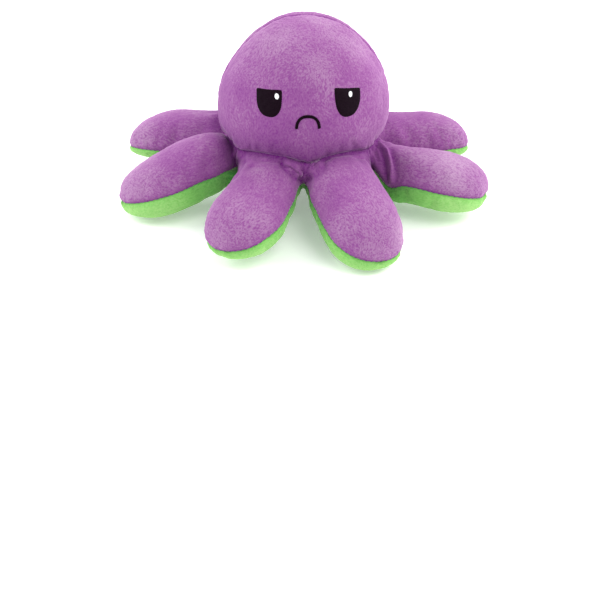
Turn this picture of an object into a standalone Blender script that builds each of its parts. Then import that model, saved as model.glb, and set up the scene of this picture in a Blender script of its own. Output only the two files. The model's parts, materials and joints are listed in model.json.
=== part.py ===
"""Reversible plush octopus: a stuffed head round a turning pocket, a ring and eight hinged legs.

Lengths are in metres and angles in radians. The toy faces -Y and stands on Z = 0.
Azimuths are measured from the front, towards +X, and left and right are as seen from the front.
"""

import math
from collections import namedtuple

import bmesh
import bpy
from mathutils import Vector

# Cloth, thread and filling
FABRIC_THICKNESS = 0.0015
CLEARANCE = 0.0003
STUFFING_CLEARANCE = 0.0005
THREAD_RADIUS = 0.0003
FACET_DEPTH = 0.0004
MERGE_DISTANCE = 0.00001

# Ring that joins the head, the pocket and the legs
RING_SEAM_HEIGHT = 0.0245
RING_WALL_HEIGHT = 0.0115
RING_BELLY = 0.0115
RING_OVERHANG = 0.0022
MOUTH_LIP = 0.003
RING_STEPS = 32
RING_WALL_POINTS = 3
GUTTER_POINTS = 3

# Head
HEAD_RADIUS = 0.0452
HEAD_HALF_HEIGHT = 0.046
HEAD_CENTRE_ABOVE_NECK = 0.017
CROWN_SEAM_TILT = math.radians(8)
FACE_TURN = math.radians(3)
HEAD_SEGMENTS = 28
HEAD_RINGS = 14
CROWN_THREAD_POINTS = 21

# Turning pocket: the other head, pushed up inside this one
POCKET_RADIUS = 0.026
POCKET_HALF_HEIGHT = 0.037
POCKET_CENTRE_ABOVE_MOUTH = 0.022
POCKET_SEGMENTS = 24
POCKET_RINGS = 12
POCKET_THREAD_POINTS = 17

# Legs
LEG_LENGTH = 0.0605
LEG_WIDTH = 0.041
LEG_ROOT_WIDTH = 0.036
LEG_CROWN = 0.0168
LEG_BELLY = 0.0146
LEG_ROOT_BELLY = 0.009
LEG_SIDE_CLEARANCE = 0.0005
KNUCKLE_RADIUS = 0.0123
FOOT_FLAT_DEPTH = 0.0005
SIDE_LEG_SWEEP = math.radians(5)
LEG_SEGMENTS = 16
LEG_RINGS = 10
FOOT_SHARE = 0.78
SWELL_SHARE = 0.6
ROOT_PLAN_POWER = 4.4
TIP_PLAN_POWER = 2.35
ROOT_SIDE_POWER = 2.0
TIP_SIDE_POWER = 2.35
SWEEP_POWER = 1.5
NEST_SHARE = 0.5
MIDDLE_SHARE = 0.5
LEG_NAMES = ("front_right", "side_front_right", "side_back_right", "back_right",
             "back_left", "side_back_left", "side_front_left", "front_left")
LEG_SWEEP_SHARES = (0, 1, -1, 0)

# Embroidered faces
EMBROIDERY_THICKNESS = 0.0006
EYE_SEGMENTS = 28
EYE_RINGS = 2
HIGHLIGHT_SEGMENTS = 10
HIGHLIGHT_RINGS = 1
STROKE_RADIUS = 0.0007
STROKE_POINTS = 13
FROWN_EYE_SPACING = 0.0405
FROWN_EYE_RISE = 0.0184
FROWN_EYE_WIDTH = 0.014
FROWN_EYE_DROP = 0.0098
FROWN_EYE_POWER = 2.8
LID_RISE = 0.0042
LID_SLOPE = math.radians(5)
FROWN_RISE = 0.0078
FROWN_WIDTH = 0.0112
FROWN_HEIGHT = 0.006
HIGHLIGHT_WIDTH = 0.0027
HIGHLIGHT_HEIGHT = 0.0034
LEFT_HIGHLIGHT_ACROSS = 0.0044
LEFT_HIGHLIGHT_RISE = 0.0006
RIGHT_HIGHLIGHT_ACROSS = 0.002
RIGHT_HIGHLIGHT_RISE = 0.0003
SMILE_EYE_SPACING = 0.037
SMILE_EYE_RISE = 0.008
SMILE_EYE_WIDTH = 0.0134
SMILE_EYE_HEIGHT = 0.0148
SMILE_HIGHLIGHT_RISE = 0.003
SMILE_DROP = 0.001
SMILE_WIDTH = 0.0092
SMILE_HEIGHT = 0.0058

# Finishes: red, green, blue and roughness
PURPLE_CLOTH = (0.392, 0.125, 0.434, 0.95)
GREEN_CLOTH = (0.202, 0.597, 0.124, 0.95)
WHITE_FILLING = (0.88, 0.88, 0.86, 1.0)
BLACK_THREAD = (0.008, 0.006, 0.01, 0.6)
WHITE_THREAD = (0.9, 0.9, 0.9, 0.55)
PURPLE_THREAD = (0.14, 0.02, 0.19, 0.8)
GREEN_THREAD = (0.06, 0.27, 0.05, 0.8)

Dome = namedtuple("Dome", "radius half_height centre_height segments rings")


def radius_at(dome, height):
    """Radius of a dome's surface at a height."""
    rise_share = (height - dome.centre_height) / dome.half_height
    return dome.radius * math.sqrt(max(0.0, 1.0 - rise_share ** 2))


# Sizes that follow from the ones above
SLIT = THREAD_RADIUS + CLEARANCE
FILLING_INSET = FABRIC_THICKNESS + STUFFING_CLEARANCE
NECK_HEIGHT = RING_SEAM_HEIGHT + RING_WALL_HEIGHT
RING_FLOOR_HEIGHT = RING_SEAM_HEIGHT - RING_BELLY
MOUTH_HEIGHT = RING_FLOOR_HEIGHT + MOUTH_LIP
POCKET_EDGE_HEIGHT = MOUTH_HEIGHT + SLIT + FABRIC_THICKNESS
HEAD = Dome(HEAD_RADIUS, HEAD_HALF_HEIGHT, NECK_HEIGHT + HEAD_CENTRE_ABOVE_NECK,
            HEAD_SEGMENTS, HEAD_RINGS)
POCKET = Dome(POCKET_RADIUS, POCKET_HALF_HEIGHT, MOUTH_HEIGHT + POCKET_CENTRE_ABOVE_MOUTH,
              POCKET_SEGMENTS, POCKET_RINGS)
RING_RADIUS = radius_at(HEAD, NECK_HEIGHT) - RING_OVERHANG
MOUTH_RADIUS = radius_at(POCKET, MOUTH_HEIGHT)
GUTTER_RADIUS = (RING_RADIUS + MOUTH_RADIUS) / 2
LEG_COUNT = len(LEG_NAMES)
LEG_ROOT_RADIUS = RING_RADIUS + STUFFING_CLEARANCE
HINGE_RADIUS = LEG_ROOT_RADIUS + KNUCKLE_RADIUS
HINGE_SHARE = KNUCKLE_RADIUS / LEG_LENGTH


def clear_scene():
    """Remove whatever the scene holds."""
    for item in list(bpy.data.objects):
        bpy.data.objects.remove(item, do_unlink=True)


def make_collection(name):
    """Make a collection in the scene."""
    group = bpy.data.collections.new(name)
    bpy.context.scene.collection.children.link(group)
    return group


def make_material(name, finish):
    """Make a matt cloth or thread material from its colour and roughness."""
    red, green, blue, roughness = finish
    material = bpy.data.materials.new(name)
    material.use_nodes = True
    shader = material.node_tree.nodes["Principled BSDF"]
    shader.inputs["Base Color"].default_value = (red, green, blue, 1.0)
    shader.inputs["Roughness"].default_value = roughness
    shader.inputs["Metallic"].default_value = 0.0
    material.diffuse_color = (red, green, blue, 1.0)
    return material


def add_object(name, data, group, material, parent=None, turn=0.0):
    """Put a mesh or curve in the scene as one named piece."""
    item = bpy.data.objects.new(name, data)
    data.materials.append(material)
    group.objects.link(item)
    item.parent = parent
    item.rotation_euler.z = turn
    return item


def face_outwards(builder):
    """Turn the faces of a closed solid outwards."""
    bmesh.ops.recalc_face_normals(builder, faces=builder.faces)
    if builder.calc_volume(signed=True) < 0:
        bmesh.ops.reverse_faces(builder, faces=builder.faces)


def mesh_from(builder, name):
    """Turn a finished bmesh into a mesh."""
    mesh = bpy.data.meshes.new(name)
    builder.to_mesh(mesh)
    builder.free()
    return mesh


def thicken(item, offset):
    """Give an open sheet its cloth thickness, inwards for -1 and outwards for 1."""
    solidify = item.modifiers.new("cloth", "SOLIDIFY")
    solidify.thickness = FABRIC_THICKNESS
    solidify.offset = offset
    solidify.use_even_offset = True
    return solidify


def thread(name, points, radius, closed, group, material, parent=None, turn=0.0):
    """Lay a round thread through points."""
    curve = bpy.data.curves.new(name, "CURVE")
    curve.dimensions = "3D"
    curve.bevel_depth = radius
    curve.bevel_resolution = 0
    curve.use_fill_caps = True
    spline = curve.splines.new("POLY")
    spline.points.add(len(points) - 1)
    for knot, point in zip(spline.points, points):
        knot.co = (*point, 1.0)
    spline.use_cyclic_u = closed
    return add_object(name, curve, group, material, parent, turn)


def dome_point(dome, azimuth, height, lift):
    """Point of a dome at an azimuth and a height, lifted off its surface."""
    sine = (height - dome.centre_height) / dome.half_height
    reach = (dome.radius + lift) * math.sqrt(max(0.0, 1.0 - sine ** 2))
    level = dome.centre_height + (dome.half_height + lift) * sine
    return Vector((reach * math.sin(azimuth), -reach * math.cos(azimuth), level))


def ellipsoid(dome, inset):
    """Whole ball of a dome, moved inwards by an inset."""
    builder = bmesh.new()
    bmesh.ops.create_uvsphere(builder, u_segments=dome.segments, v_segments=dome.rings, radius=1.0)
    across = dome.radius - inset
    upright = dome.half_height - inset
    bmesh.ops.scale(builder, vec=Vector((across, across, upright)), verts=builder.verts)
    bmesh.ops.translate(builder, vec=Vector((0.0, 0.0, dome.centre_height)), verts=builder.verts)
    return builder


def trim(builder, point, normal, fill=False):
    """Cut away what lies behind a plane, and close the cut if asked."""
    everything = list(builder.verts) + list(builder.edges) + list(builder.faces)
    cut = bmesh.ops.bisect_plane(builder, geom=everything, plane_co=point, plane_no=normal,
                                 clear_inner=True)
    if fill:
        rim = [part for part in cut["geom_cut"] if isinstance(part, bmesh.types.BMEdge)]
        if rim:
            bmesh.ops.contextual_create(builder, geom=rim)


def seam_side_normal(side):
    """Normal of the crown seam's plane, towards the front for 1 and the back for -1."""
    return Vector((0.0, -math.cos(CROWN_SEAM_TILT), math.sin(CROWN_SEAM_TILT))) * side


def dome_panel(name, dome, edge_height, side, offset, group, material):
    """Front or back cloth panel of a dome, open at its lower edge."""
    builder = ellipsoid(dome, 0.0)
    trim(builder, Vector((0.0, 0.0, edge_height)), Vector((0.0, 0.0, 1.0)))
    normal = seam_side_normal(side)
    trim(builder, Vector((0.0, 0.0, dome.centre_height)) + normal * SLIT, normal)
    panel = add_object(name, mesh_from(builder, name), group, material, turn=FACE_TURN)
    thicken(panel, offset)


def seam_arc(dome, edge_height, inset, count):
    """Points over a dome's crown in its seam plane, from its left edge to its right edge."""
    tilt_run = math.sin(CROWN_SEAM_TILT) / (dome.radius - inset)
    tilt_rise = math.cos(CROWN_SEAM_TILT) / (dome.half_height - inset)
    reach = 1.0 / math.hypot(tilt_run, tilt_rise)
    drop = (edge_height - dome.centre_height) / (reach * math.cos(CROWN_SEAM_TILT))
    start = math.asin(drop)
    points = []
    for step in range(count):
        angle = start + (math.pi - 2 * start) * step / (count - 1)
        across = (dome.radius - inset) * math.cos(angle)
        along = reach * math.sin(angle)
        points.append(Vector((-across, along * math.sin(CROWN_SEAM_TILT),
                              dome.centre_height + along * math.cos(CROWN_SEAM_TILT))))
    return points


def make_head(group, cutters, finishes):
    """Purple head panels, their seam threads and the filling between head and pocket."""
    cloth, stitch = finishes["purple_cloth"], finishes["purple_thread"]
    edge_height = NECK_HEIGHT + SLIT
    dome_panel("head_front", HEAD, edge_height, 1, -1.0, group, cloth)
    dome_panel("head_back", HEAD, edge_height, -1, -1.0, group, cloth)
    arc = seam_arc(HEAD, edge_height + SLIT, THREAD_RADIUS, CROWN_THREAD_POINTS)
    thread("crown_seam_thread", arc, THREAD_RADIUS, False, group, stitch, turn=FACE_TURN)
    circle = ring_of_points(radius_at(HEAD, NECK_HEIGHT) - THREAD_RADIUS, NECK_HEIGHT)
    thread("neck_seam_thread", circle, THREAD_RADIUS, True, group, stitch)
    filling = ellipsoid(HEAD, FILLING_INSET)
    trim(filling, Vector((0.0, 0.0, NECK_HEIGHT + CLEARANCE / 2)), Vector((0.0, 0.0, 1.0)), True)
    item = add_object("head_stuffing", mesh_from(filling, "head_stuffing"), group,
                      finishes["filling"], turn=FACE_TURN)
    hollow = mesh_from(ellipsoid(POCKET, -FILLING_INSET), "pocket_hollow")
    cutter = add_object("pocket_hollow", hollow, cutters, finishes["filling"], turn=FACE_TURN)
    cutter.hide_render = True
    cutter.display_type = "WIRE"
    cut = item.modifiers.new("pocket", "BOOLEAN")
    cut.operation = "DIFFERENCE"
    cut.solver = "EXACT"
    cut.object = cutter


def make_pocket(group, finishes):
    """Green pocket panels and their seam threads."""
    cloth, stitch = finishes["green_cloth"], finishes["green_thread"]
    dome_panel("pocket_front", POCKET, POCKET_EDGE_HEIGHT, 1, 1.0, group, cloth)
    dome_panel("pocket_back", POCKET, POCKET_EDGE_HEIGHT, -1, 1.0, group, cloth)
    arc = seam_arc(POCKET, POCKET_EDGE_HEIGHT + SLIT, -THREAD_RADIUS, POCKET_THREAD_POINTS)
    thread("pocket_seam_thread", arc, THREAD_RADIUS, False, group, stitch, turn=FACE_TURN)
    circle = ring_of_points(MOUTH_RADIUS + THREAD_RADIUS, MOUTH_HEIGHT + SLIT)
    thread("mouth_seam_thread", circle, THREAD_RADIUS, True, group, stitch)


def ring_of_points(radius, height):
    """Points round the toy's axis."""
    angles = [2 * math.pi * step / RING_STEPS for step in range(RING_STEPS)]
    return [Vector((radius * math.cos(angle), radius * math.sin(angle), height))
            for angle in angles]


def ring_wall(top, bottom, inset):
    """Outer wall of the ring from its top down, as radius and height."""
    points = []
    for step in range(RING_WALL_POINTS):
        height = top + (bottom - top) * step / (RING_WALL_POINTS - 1)
        share = (height - RING_SEAM_HEIGHT) / RING_WALL_HEIGHT
        points.append((RING_RADIUS - inset + RING_OVERHANG * share ** 2, height))
    return points


def ring_gutter(seam_slit, inset):
    """Underside of the ring from its outer seam to the pocket's mouth, as radius and height."""
    start = RING_SEAM_HEIGHT - seam_slit
    floor = RING_FLOOR_HEIGHT + inset
    outer = RING_RADIUS - inset - GUTTER_RADIUS
    inner = GUTTER_RADIUS - MOUTH_RADIUS - inset
    lip = MOUTH_LIP - seam_slit
    quarter = [math.pi / 2 * step / (GUTTER_POINTS - 1) for step in range(GUTTER_POINTS)]
    points = [(GUTTER_RADIUS + outer * math.cos(angle), start - (start - floor) * math.sin(angle))
              for angle in quarter]
    points += [(GUTTER_RADIUS - inner * math.sin(angle), floor + lip * (1 - math.cos(angle)))
               for angle in quarter[1:]]
    return points


def turned(name, outline, closed, group, material):
    """Turn an outline of radius and height about the toy's axis."""
    builder = bmesh.new()
    corners = [builder.verts.new((radius, 0.0, height)) for radius, height in outline]
    for first, second in zip(corners, corners[1:]):
        builder.edges.new((first, second))
    if closed:
        builder.edges.new((corners[-1], corners[0]))
    item = add_object(name, mesh_from(builder, name), group, material)
    screw = item.modifiers.new("turn", "SCREW")
    screw.axis = "Z"
    screw.angle = 2 * math.pi
    screw.steps = RING_STEPS
    screw.render_steps = RING_STEPS
    screw.use_merge_vertices = True
    screw.merge_threshold = MERGE_DISTANCE
    screw.use_normal_calculate = True
    screw.use_normal_flip = closed
    return item


def make_ring(group, finishes):
    """Purple wall, green underside, seam thread and filling of the ring."""
    wall = ring_wall(NECK_HEIGHT - SLIT, RING_SEAM_HEIGHT + SLIT, 0.0)
    cover = turned("ring_cover", wall, False, group, finishes["purple_cloth"])
    thicken(cover, -1.0)
    lining = turned("ring_lining", ring_gutter(SLIT, 0.0), False, group,
                    finishes["green_cloth"])
    thicken(lining, -1.0)
    circle = ring_of_points(RING_RADIUS - THREAD_RADIUS, RING_SEAM_HEIGHT)
    thread("ring_seam_thread", circle, THREAD_RADIUS, True, group, finishes["purple_thread"])
    top = NECK_HEIGHT - CLEARANCE / 2
    outline = ring_wall(top, RING_SEAM_HEIGHT, FILLING_INSET)
    gutter = ring_gutter(0.0, FILLING_INSET)
    outline += gutter[1:-1]
    _, bottom = gutter[-1]
    for step in range(RING_WALL_POINTS):
        height = bottom + (top - bottom) * step / (RING_WALL_POINTS - 1)
        outline.append((radius_at(POCKET, height) + FILLING_INSET + FACET_DEPTH, height))
    turned("ring_stuffing", outline, True, group, finishes["filling"])


def fullness(share, root_power, tip_power):
    """Share of a leg's full section that it has at a share of its length."""
    power = root_power if share < MIDDLE_SHARE else tip_power
    return (1.0 - abs(1.0 - 2.0 * share) ** power) ** (1.0 / power)


def swell(share):
    """Smooth rise from 0 at the root to 1 at the swell's end."""
    part = min(1.0, max(0.0, share / SWELL_SHARE))
    return part * part * (3.0 - 2.0 * part)


def foot_seam_height():
    """Height of a leg's seam over its foot, which the floor flattens slightly."""
    belly = LEG_BELLY * fullness(FOOT_SHARE, ROOT_SIDE_POWER, TIP_SIDE_POWER)
    return belly + SLIT - FOOT_FLAT_DEPTH


def seam_height(share):
    """Height of a leg's seam, straight from the ring's seam through the foot's."""
    return RING_SEAM_HEIGHT + (foot_seam_height() - RING_SEAM_HEIGHT) * share / FOOT_SHARE


def leg_rise(share, inset, side):
    """How far a leg's cloth lies above its seam for side 1, or below it for -1."""
    if side > 0:
        depth = LEG_CROWN
    else:
        depth = LEG_ROOT_BELLY + (LEG_BELLY - LEG_ROOT_BELLY) * swell(share)
    return side * (depth - inset) * fullness(share, ROOT_SIDE_POWER, TIP_SIDE_POWER)


def leg_half_width(share, sweep, inset):
    """Half width of a leg, held inside its own slice of the toy."""
    radius = LEG_ROOT_RADIUS + LEG_LENGTH * share
    wanted = (LEG_ROOT_WIDTH + (LEG_WIDTH - LEG_ROOT_WIDTH) * swell(share)) / 2
    slice_angle = math.pi / LEG_COUNT - abs(sweep) * share ** SWEEP_POWER
    room = radius * math.tan(slice_angle) - LEG_SIDE_CLEARANCE
    plan = fullness(share, ROOT_PLAN_POWER, TIP_PLAN_POWER)
    return max(0.0, min(wanted, room) - inset) * plan


def hinge_height():
    """Height of the legs' hinge axes, at the middle of the knuckle."""
    rise = leg_rise(HINGE_SHARE, 0.0, 1) + leg_rise(HINGE_SHARE, 0.0, -1)
    return seam_height(HINGE_SHARE) + rise / 2


def leg_point(share, around, sweep, inset, slit):
    """Point of a leg's surface, measured from its hinge, with +X outwards and +Z up."""
    radius = LEG_ROOT_RADIUS + inset + (LEG_LENGTH - 2 * inset) * share
    true_share = (radius - LEG_ROOT_RADIUS) / LEG_LENGTH
    across = leg_half_width(share, sweep, inset) * math.cos(around)
    side = 1 if math.sin(around) > 0 else -1
    rise = leg_rise(share, inset, side) * abs(math.sin(around)) + slit
    height = seam_height(true_share) + rise
    if inset > 0:
        height = max(height, inset)
    hug = LEG_ROOT_RADIUS - math.sqrt(max(0.0, LEG_ROOT_RADIUS ** 2 - across ** 2))
    radius -= hug * (1.0 - share) ** 2
    bend = sweep * share ** SWEEP_POWER
    outwards = radius * math.cos(bend) - across * math.sin(bend)
    sideways = radius * math.sin(bend) + across * math.cos(bend)
    return Vector((outwards - HINGE_RADIUS, sideways, height - hinge_height()))


def half_of(builder, verts, axis, side):
    """Keep the half of a ball on one side of its middle, rim included."""
    nearly_level = 1.0 / len(verts)
    lost = [vert for vert in verts if vert.co[axis] * side < -nearly_level]
    kept = [vert for vert in verts if vert.co[axis] * side >= -nearly_level]
    bmesh.ops.delete(builder, geom=lost, context="VERTS")
    return kept


def leg_ball(builder, side=None):
    """Unit ball lying along a leg, or its upper half for side 1 and lower half for -1."""
    made = bmesh.ops.create_uvsphere(builder, u_segments=LEG_SEGMENTS, v_segments=LEG_RINGS,
                                     radius=1.0)
    if side is None:
        return made["verts"]
    return half_of(builder, made["verts"], 1, side)


def place_on_leg(verts, sweep, inset, slit, side=None):
    """Move a ball's points to the leg's surface."""
    for vert in verts:
        share = min(1.0, max(0.0, (1.0 + vert.co.z / vert.co.length) / 2))
        around = math.atan2(vert.co.y, vert.co.x)
        if side is not None:
            around = side * abs(around)
        vert.co = leg_point(share, around, sweep, inset, slit)


def leg_skin(name, sweep, side, group, material, parent):
    """Upper or lower cloth of a leg: two nested half balls joined at their rims, then shaped."""
    builder = bmesh.new()
    outer = leg_ball(builder, side)
    inner = leg_ball(builder, side)
    bmesh.ops.scale(builder, vec=Vector((NEST_SHARE, NEST_SHARE, NEST_SHARE)), verts=inner)
    inner_faces = {face for vert in inner for face in vert.link_faces}
    bmesh.ops.reverse_faces(builder, faces=list(inner_faces))
    rims = [edge for edge in builder.edges if edge.is_boundary]
    bmesh.ops.bridge_loops(builder, edges=rims)
    place_on_leg(outer, sweep, 0.0, SLIT * side, side)
    place_on_leg(inner, sweep, FABRIC_THICKNESS, SLIT * side, side)
    trim(builder, Vector((0.0, 0.0, -hinge_height())), Vector((0.0, 0.0, 1.0)), True)
    face_outwards(builder)
    add_object(name, mesh_from(builder, name), group, material, parent)


def leg_filling(name, sweep, group, material, parent):
    """Filling of a leg."""
    builder = bmesh.new()
    verts = leg_ball(builder)
    place_on_leg(verts, sweep, FILLING_INSET, 0.0)
    face_outwards(builder)
    add_object(name, mesh_from(builder, name), group, material, parent)


def leg_seam(sweep):
    """Points round a leg's edge, from its root along one side and back along the other."""
    shares = [(1.0 - math.cos(math.pi * ring / LEG_RINGS)) / 2 for ring in range(LEG_RINGS + 1)]
    there = [leg_point(share, 0.0, sweep, THREAD_RADIUS, 0.0) for share in shares]
    back = [leg_point(share, math.pi, sweep, THREAD_RADIUS, 0.0) for share in shares[1:-1]]
    return there + back[::-1]


def make_leg(index, group, finishes):
    """One leg on an empty that lies on its hinge axis."""
    name = LEG_NAMES[index]
    azimuth = 2 * math.pi * (index + 0.5) / LEG_COUNT
    sweep = SIDE_LEG_SWEEP * LEG_SWEEP_SHARES[index % len(LEG_SWEEP_SHARES)]
    hinge = bpy.data.objects.new(name + "_hinge", None)
    hinge.empty_display_size = KNUCKLE_RADIUS
    hinge.location = (HINGE_RADIUS * math.sin(azimuth), -HINGE_RADIUS * math.cos(azimuth),
                      hinge_height())
    hinge.rotation_euler.z = azimuth - math.pi / 2
    group.objects.link(hinge)
    leg_skin(name + "_leg_cover", sweep, 1, group, finishes["purple_cloth"], hinge)
    leg_skin(name + "_leg_lining", sweep, -1, group, finishes["green_cloth"], hinge)
    leg_filling(name + "_leg_stuffing", sweep, group, finishes["filling"], hinge)
    thread(name + "_leg_seam", leg_seam(sweep), THREAD_RADIUS, True, group,
           finishes["purple_thread"], hinge)


def disc(builder, segments, rings):
    """Unit disc with rings of faces, made by flattening half a ball."""
    made = bmesh.ops.create_uvsphere(builder, u_segments=segments, v_segments=2 * rings,
                                     radius=1.0)
    for vert in half_of(builder, made["verts"], 2, 1):
        reach = math.acos(max(-1.0, min(1.0, vert.co.z))) / (math.pi / 2)
        flat = Vector((vert.co.x, vert.co.y, 0.0))
        vert.co = flat.normalized() * reach


def patch(name, dome, place, reach_at, fineness, lift, group, material):
    """Embroidered patch that follows a dome, with an outline given by its reach at each angle."""
    across, height = place
    builder = bmesh.new()
    disc(builder, *fineness)
    azimuth = across / radius_at(dome, height)
    steepness = math.sqrt(1.0 - ((height - dome.centre_height) / dome.half_height) ** 2)
    for vert in builder.verts:
        angle = math.atan2(vert.co.y, vert.co.x)
        reach = vert.co.length * reach_at(angle)
        level = height + reach * math.sin(angle) * steepness
        turn = azimuth + reach * math.cos(angle) / radius_at(dome, height)
        vert.co = dome_point(dome, turn, level, lift)
    item = add_object(name, mesh_from(builder, name), group, material, turn=FACE_TURN)
    solidify = thicken(item, math.copysign(1.0, lift))
    solidify.thickness = EMBROIDERY_THICKNESS


def oval(width, height):
    """Reach of an oval at each angle."""
    def reach(angle):
        return 1.0 / math.hypot(2 * math.cos(angle) / width, 2 * math.sin(angle) / height)
    return reach


def full_oval(width, height, power):
    """Reach of an oval whose sides are straighter the higher its power is above 2."""
    def reach(angle):
        across = abs(2 * math.cos(angle) / width)
        up = abs(2 * math.sin(angle) / height)
        return (across ** power + up ** power) ** (-1.0 / power)
    return reach


def lidded_eye(inner_side):
    """Reach of an eye with a rounded bottom and a straight lid that rises towards the nose."""
    slope = math.tan(LID_SLOPE) * inner_side
    ball = full_oval(FROWN_EYE_WIDTH, 2 * FROWN_EYE_DROP, FROWN_EYE_POWER)

    def reach(angle):
        climb = math.sin(angle) - slope * math.cos(angle)
        if climb * ball(angle) <= LID_RISE:
            return ball(angle)
        return LID_RISE / climb
    return reach


def mouth_stroke(name, dome, height, width, drop, lift, group, material):
    """Round stroke along half an oval: a frown for a positive drop, a smile for a negative one."""
    points = []
    for step in range(STROKE_POINTS):
        angle = math.pi * step / (STROKE_POINTS - 1)
        level = height + drop * (math.sin(angle) - MIDDLE_SHARE)
        turn = -math.cos(angle) * width / 2 / radius_at(dome, level)
        points.append(dome_point(dome, turn, level, lift))
    stroke = thread(name, points, STROKE_RADIUS, False, group, material, turn=FACE_TURN)
    stroke.data.bevel_resolution = 1


def make_frowning_face(group, finishes):
    """Embroidered eyes and mouth of the head."""
    black, white = finishes["black_thread"], finishes["white_thread"]
    eye_height = HEAD.centre_height + FROWN_EYE_RISE
    highlight_lift = 2 * CLEARANCE + EMBROIDERY_THICKNESS
    highlight = oval(HIGHLIGHT_WIDTH, HIGHLIGHT_HEIGHT)
    eye_fineness = (EYE_SEGMENTS, EYE_RINGS)
    highlight_fineness = (HIGHLIGHT_SEGMENTS, HIGHLIGHT_RINGS)
    eyes = (("left", -1, LEFT_HIGHLIGHT_ACROSS, LEFT_HIGHLIGHT_RISE),
            ("right", 1, RIGHT_HIGHLIGHT_ACROSS, RIGHT_HIGHLIGHT_RISE))
    for name, side, shift, rise in eyes:
        across = side * FROWN_EYE_SPACING / 2
        patch("frown_" + name + "_eye", HEAD, (across, eye_height), lidded_eye(-side),
              eye_fineness, CLEARANCE, group, black)
        patch("frown_" + name + "_highlight", HEAD, (across + shift, eye_height + rise),
              highlight, highlight_fineness, highlight_lift, group, white)
    mouth_stroke("frown_mouth", HEAD, HEAD.centre_height + FROWN_RISE, FROWN_WIDTH,
                 FROWN_HEIGHT, CLEARANCE + STROKE_RADIUS, group, black)


def make_smiling_face(group, finishes):
    """Embroidered eyes and mouth inside the pocket."""
    black, white = finishes["black_thread"], finishes["white_thread"]
    sink = CLEARANCE + FACET_DEPTH
    eye_height = POCKET.centre_height + SMILE_EYE_RISE
    eye = oval(SMILE_EYE_WIDTH, SMILE_EYE_HEIGHT)
    highlight = oval(HIGHLIGHT_WIDTH, HIGHLIGHT_HEIGHT)
    eye_fineness = (EYE_SEGMENTS, EYE_RINGS)
    highlight_fineness = (HIGHLIGHT_SEGMENTS, HIGHLIGHT_RINGS)
    for name, side in (("left", -1), ("right", 1)):
        across = side * SMILE_EYE_SPACING / 2
        patch("smile_" + name + "_eye", POCKET, (across, eye_height), eye, eye_fineness,
              -sink, group, black)
        patch("smile_" + name + "_highlight", POCKET,
              (across, eye_height + SMILE_HIGHLIGHT_RISE), highlight, highlight_fineness,
              -sink - EMBROIDERY_THICKNESS - CLEARANCE, group, white)
    mouth_stroke("smile_mouth", POCKET, POCKET.centre_height - SMILE_DROP, SMILE_WIDTH,
                 -SMILE_HEIGHT, -sink - STROKE_RADIUS, group, black)


def main():
    """Build the octopus."""
    clear_scene()
    group = make_collection("plush_octopus")
    cutters = make_collection("cutters")
    finishes = {
        "purple_cloth": make_material("purple_plush", PURPLE_CLOTH),
        "green_cloth": make_material("green_plush", GREEN_CLOTH),
        "filling": make_material("fibre_filling", WHITE_FILLING),
        "black_thread": make_material("black_embroidery", BLACK_THREAD),
        "white_thread": make_material("white_embroidery", WHITE_THREAD),
        "purple_thread": make_material("purple_seam_thread", PURPLE_THREAD),
        "green_thread": make_material("green_seam_thread", GREEN_THREAD),
    }
    make_head(group, cutters, finishes)
    make_pocket(group, finishes)
    make_ring(group, finishes)
    make_frowning_face(group, finishes)
    make_smiling_face(group, finishes)
    for index in range(LEG_COUNT):
        make_leg(index, group, finishes)


main()
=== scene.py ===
"""Dressed model of a reversible plush octopus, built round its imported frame.

The toy is sewn from one purple and one green skin. Both are built here as one welded skin of
patches, filled out by a cloth simulation, and then cut along the real seams. Shapes are worked
out in millimetres and made in metres.
"""

import json
import logging
import math
from collections.abc import Callable, Iterator
from contextlib import contextmanager
from dataclasses import dataclass, field
from enum import Enum

import bmesh
import bpy
import numpy as np
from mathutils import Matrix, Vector, noise
from mathutils.bvhtree import BVHTree
from mathutils.kdtree import KDTree

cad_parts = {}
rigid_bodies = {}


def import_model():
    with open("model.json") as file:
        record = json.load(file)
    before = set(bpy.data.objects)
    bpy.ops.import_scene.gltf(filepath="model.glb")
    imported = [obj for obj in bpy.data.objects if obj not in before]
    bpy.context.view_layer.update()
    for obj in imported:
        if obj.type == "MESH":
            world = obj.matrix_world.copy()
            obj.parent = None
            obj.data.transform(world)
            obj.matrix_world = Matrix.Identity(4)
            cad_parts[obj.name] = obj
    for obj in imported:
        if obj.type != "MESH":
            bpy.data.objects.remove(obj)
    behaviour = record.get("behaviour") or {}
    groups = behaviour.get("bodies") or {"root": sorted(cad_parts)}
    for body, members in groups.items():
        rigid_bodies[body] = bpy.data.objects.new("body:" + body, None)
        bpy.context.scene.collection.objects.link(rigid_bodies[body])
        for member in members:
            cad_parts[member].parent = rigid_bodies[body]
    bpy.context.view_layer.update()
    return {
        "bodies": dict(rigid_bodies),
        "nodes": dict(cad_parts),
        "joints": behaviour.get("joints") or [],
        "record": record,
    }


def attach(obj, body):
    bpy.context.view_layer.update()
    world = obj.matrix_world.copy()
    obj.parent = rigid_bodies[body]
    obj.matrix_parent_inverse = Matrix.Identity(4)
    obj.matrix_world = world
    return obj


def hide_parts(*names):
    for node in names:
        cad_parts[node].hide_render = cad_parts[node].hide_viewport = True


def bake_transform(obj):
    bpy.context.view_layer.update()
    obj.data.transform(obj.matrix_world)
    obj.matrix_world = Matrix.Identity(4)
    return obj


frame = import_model()

MM = 0.001
HALF_SLICE = 22.5
HEAD_BODY = "head"
log = logging.getLogger("octopus")


class Slot(Enum):
    """Material slots of the record."""

    PURPLE = "purple_plush"
    GREEN = "green_plush"
    BLACK = "black_embroidery"
    WHITE = "white_embroidery"
    PURPLE_THREAD = "purple_seam_thread"
    GREEN_THREAD = "green_seam_thread"


class Layer(Enum):
    """The two cloths of a leg."""

    TOP = 0
    UNDER = 1


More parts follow.
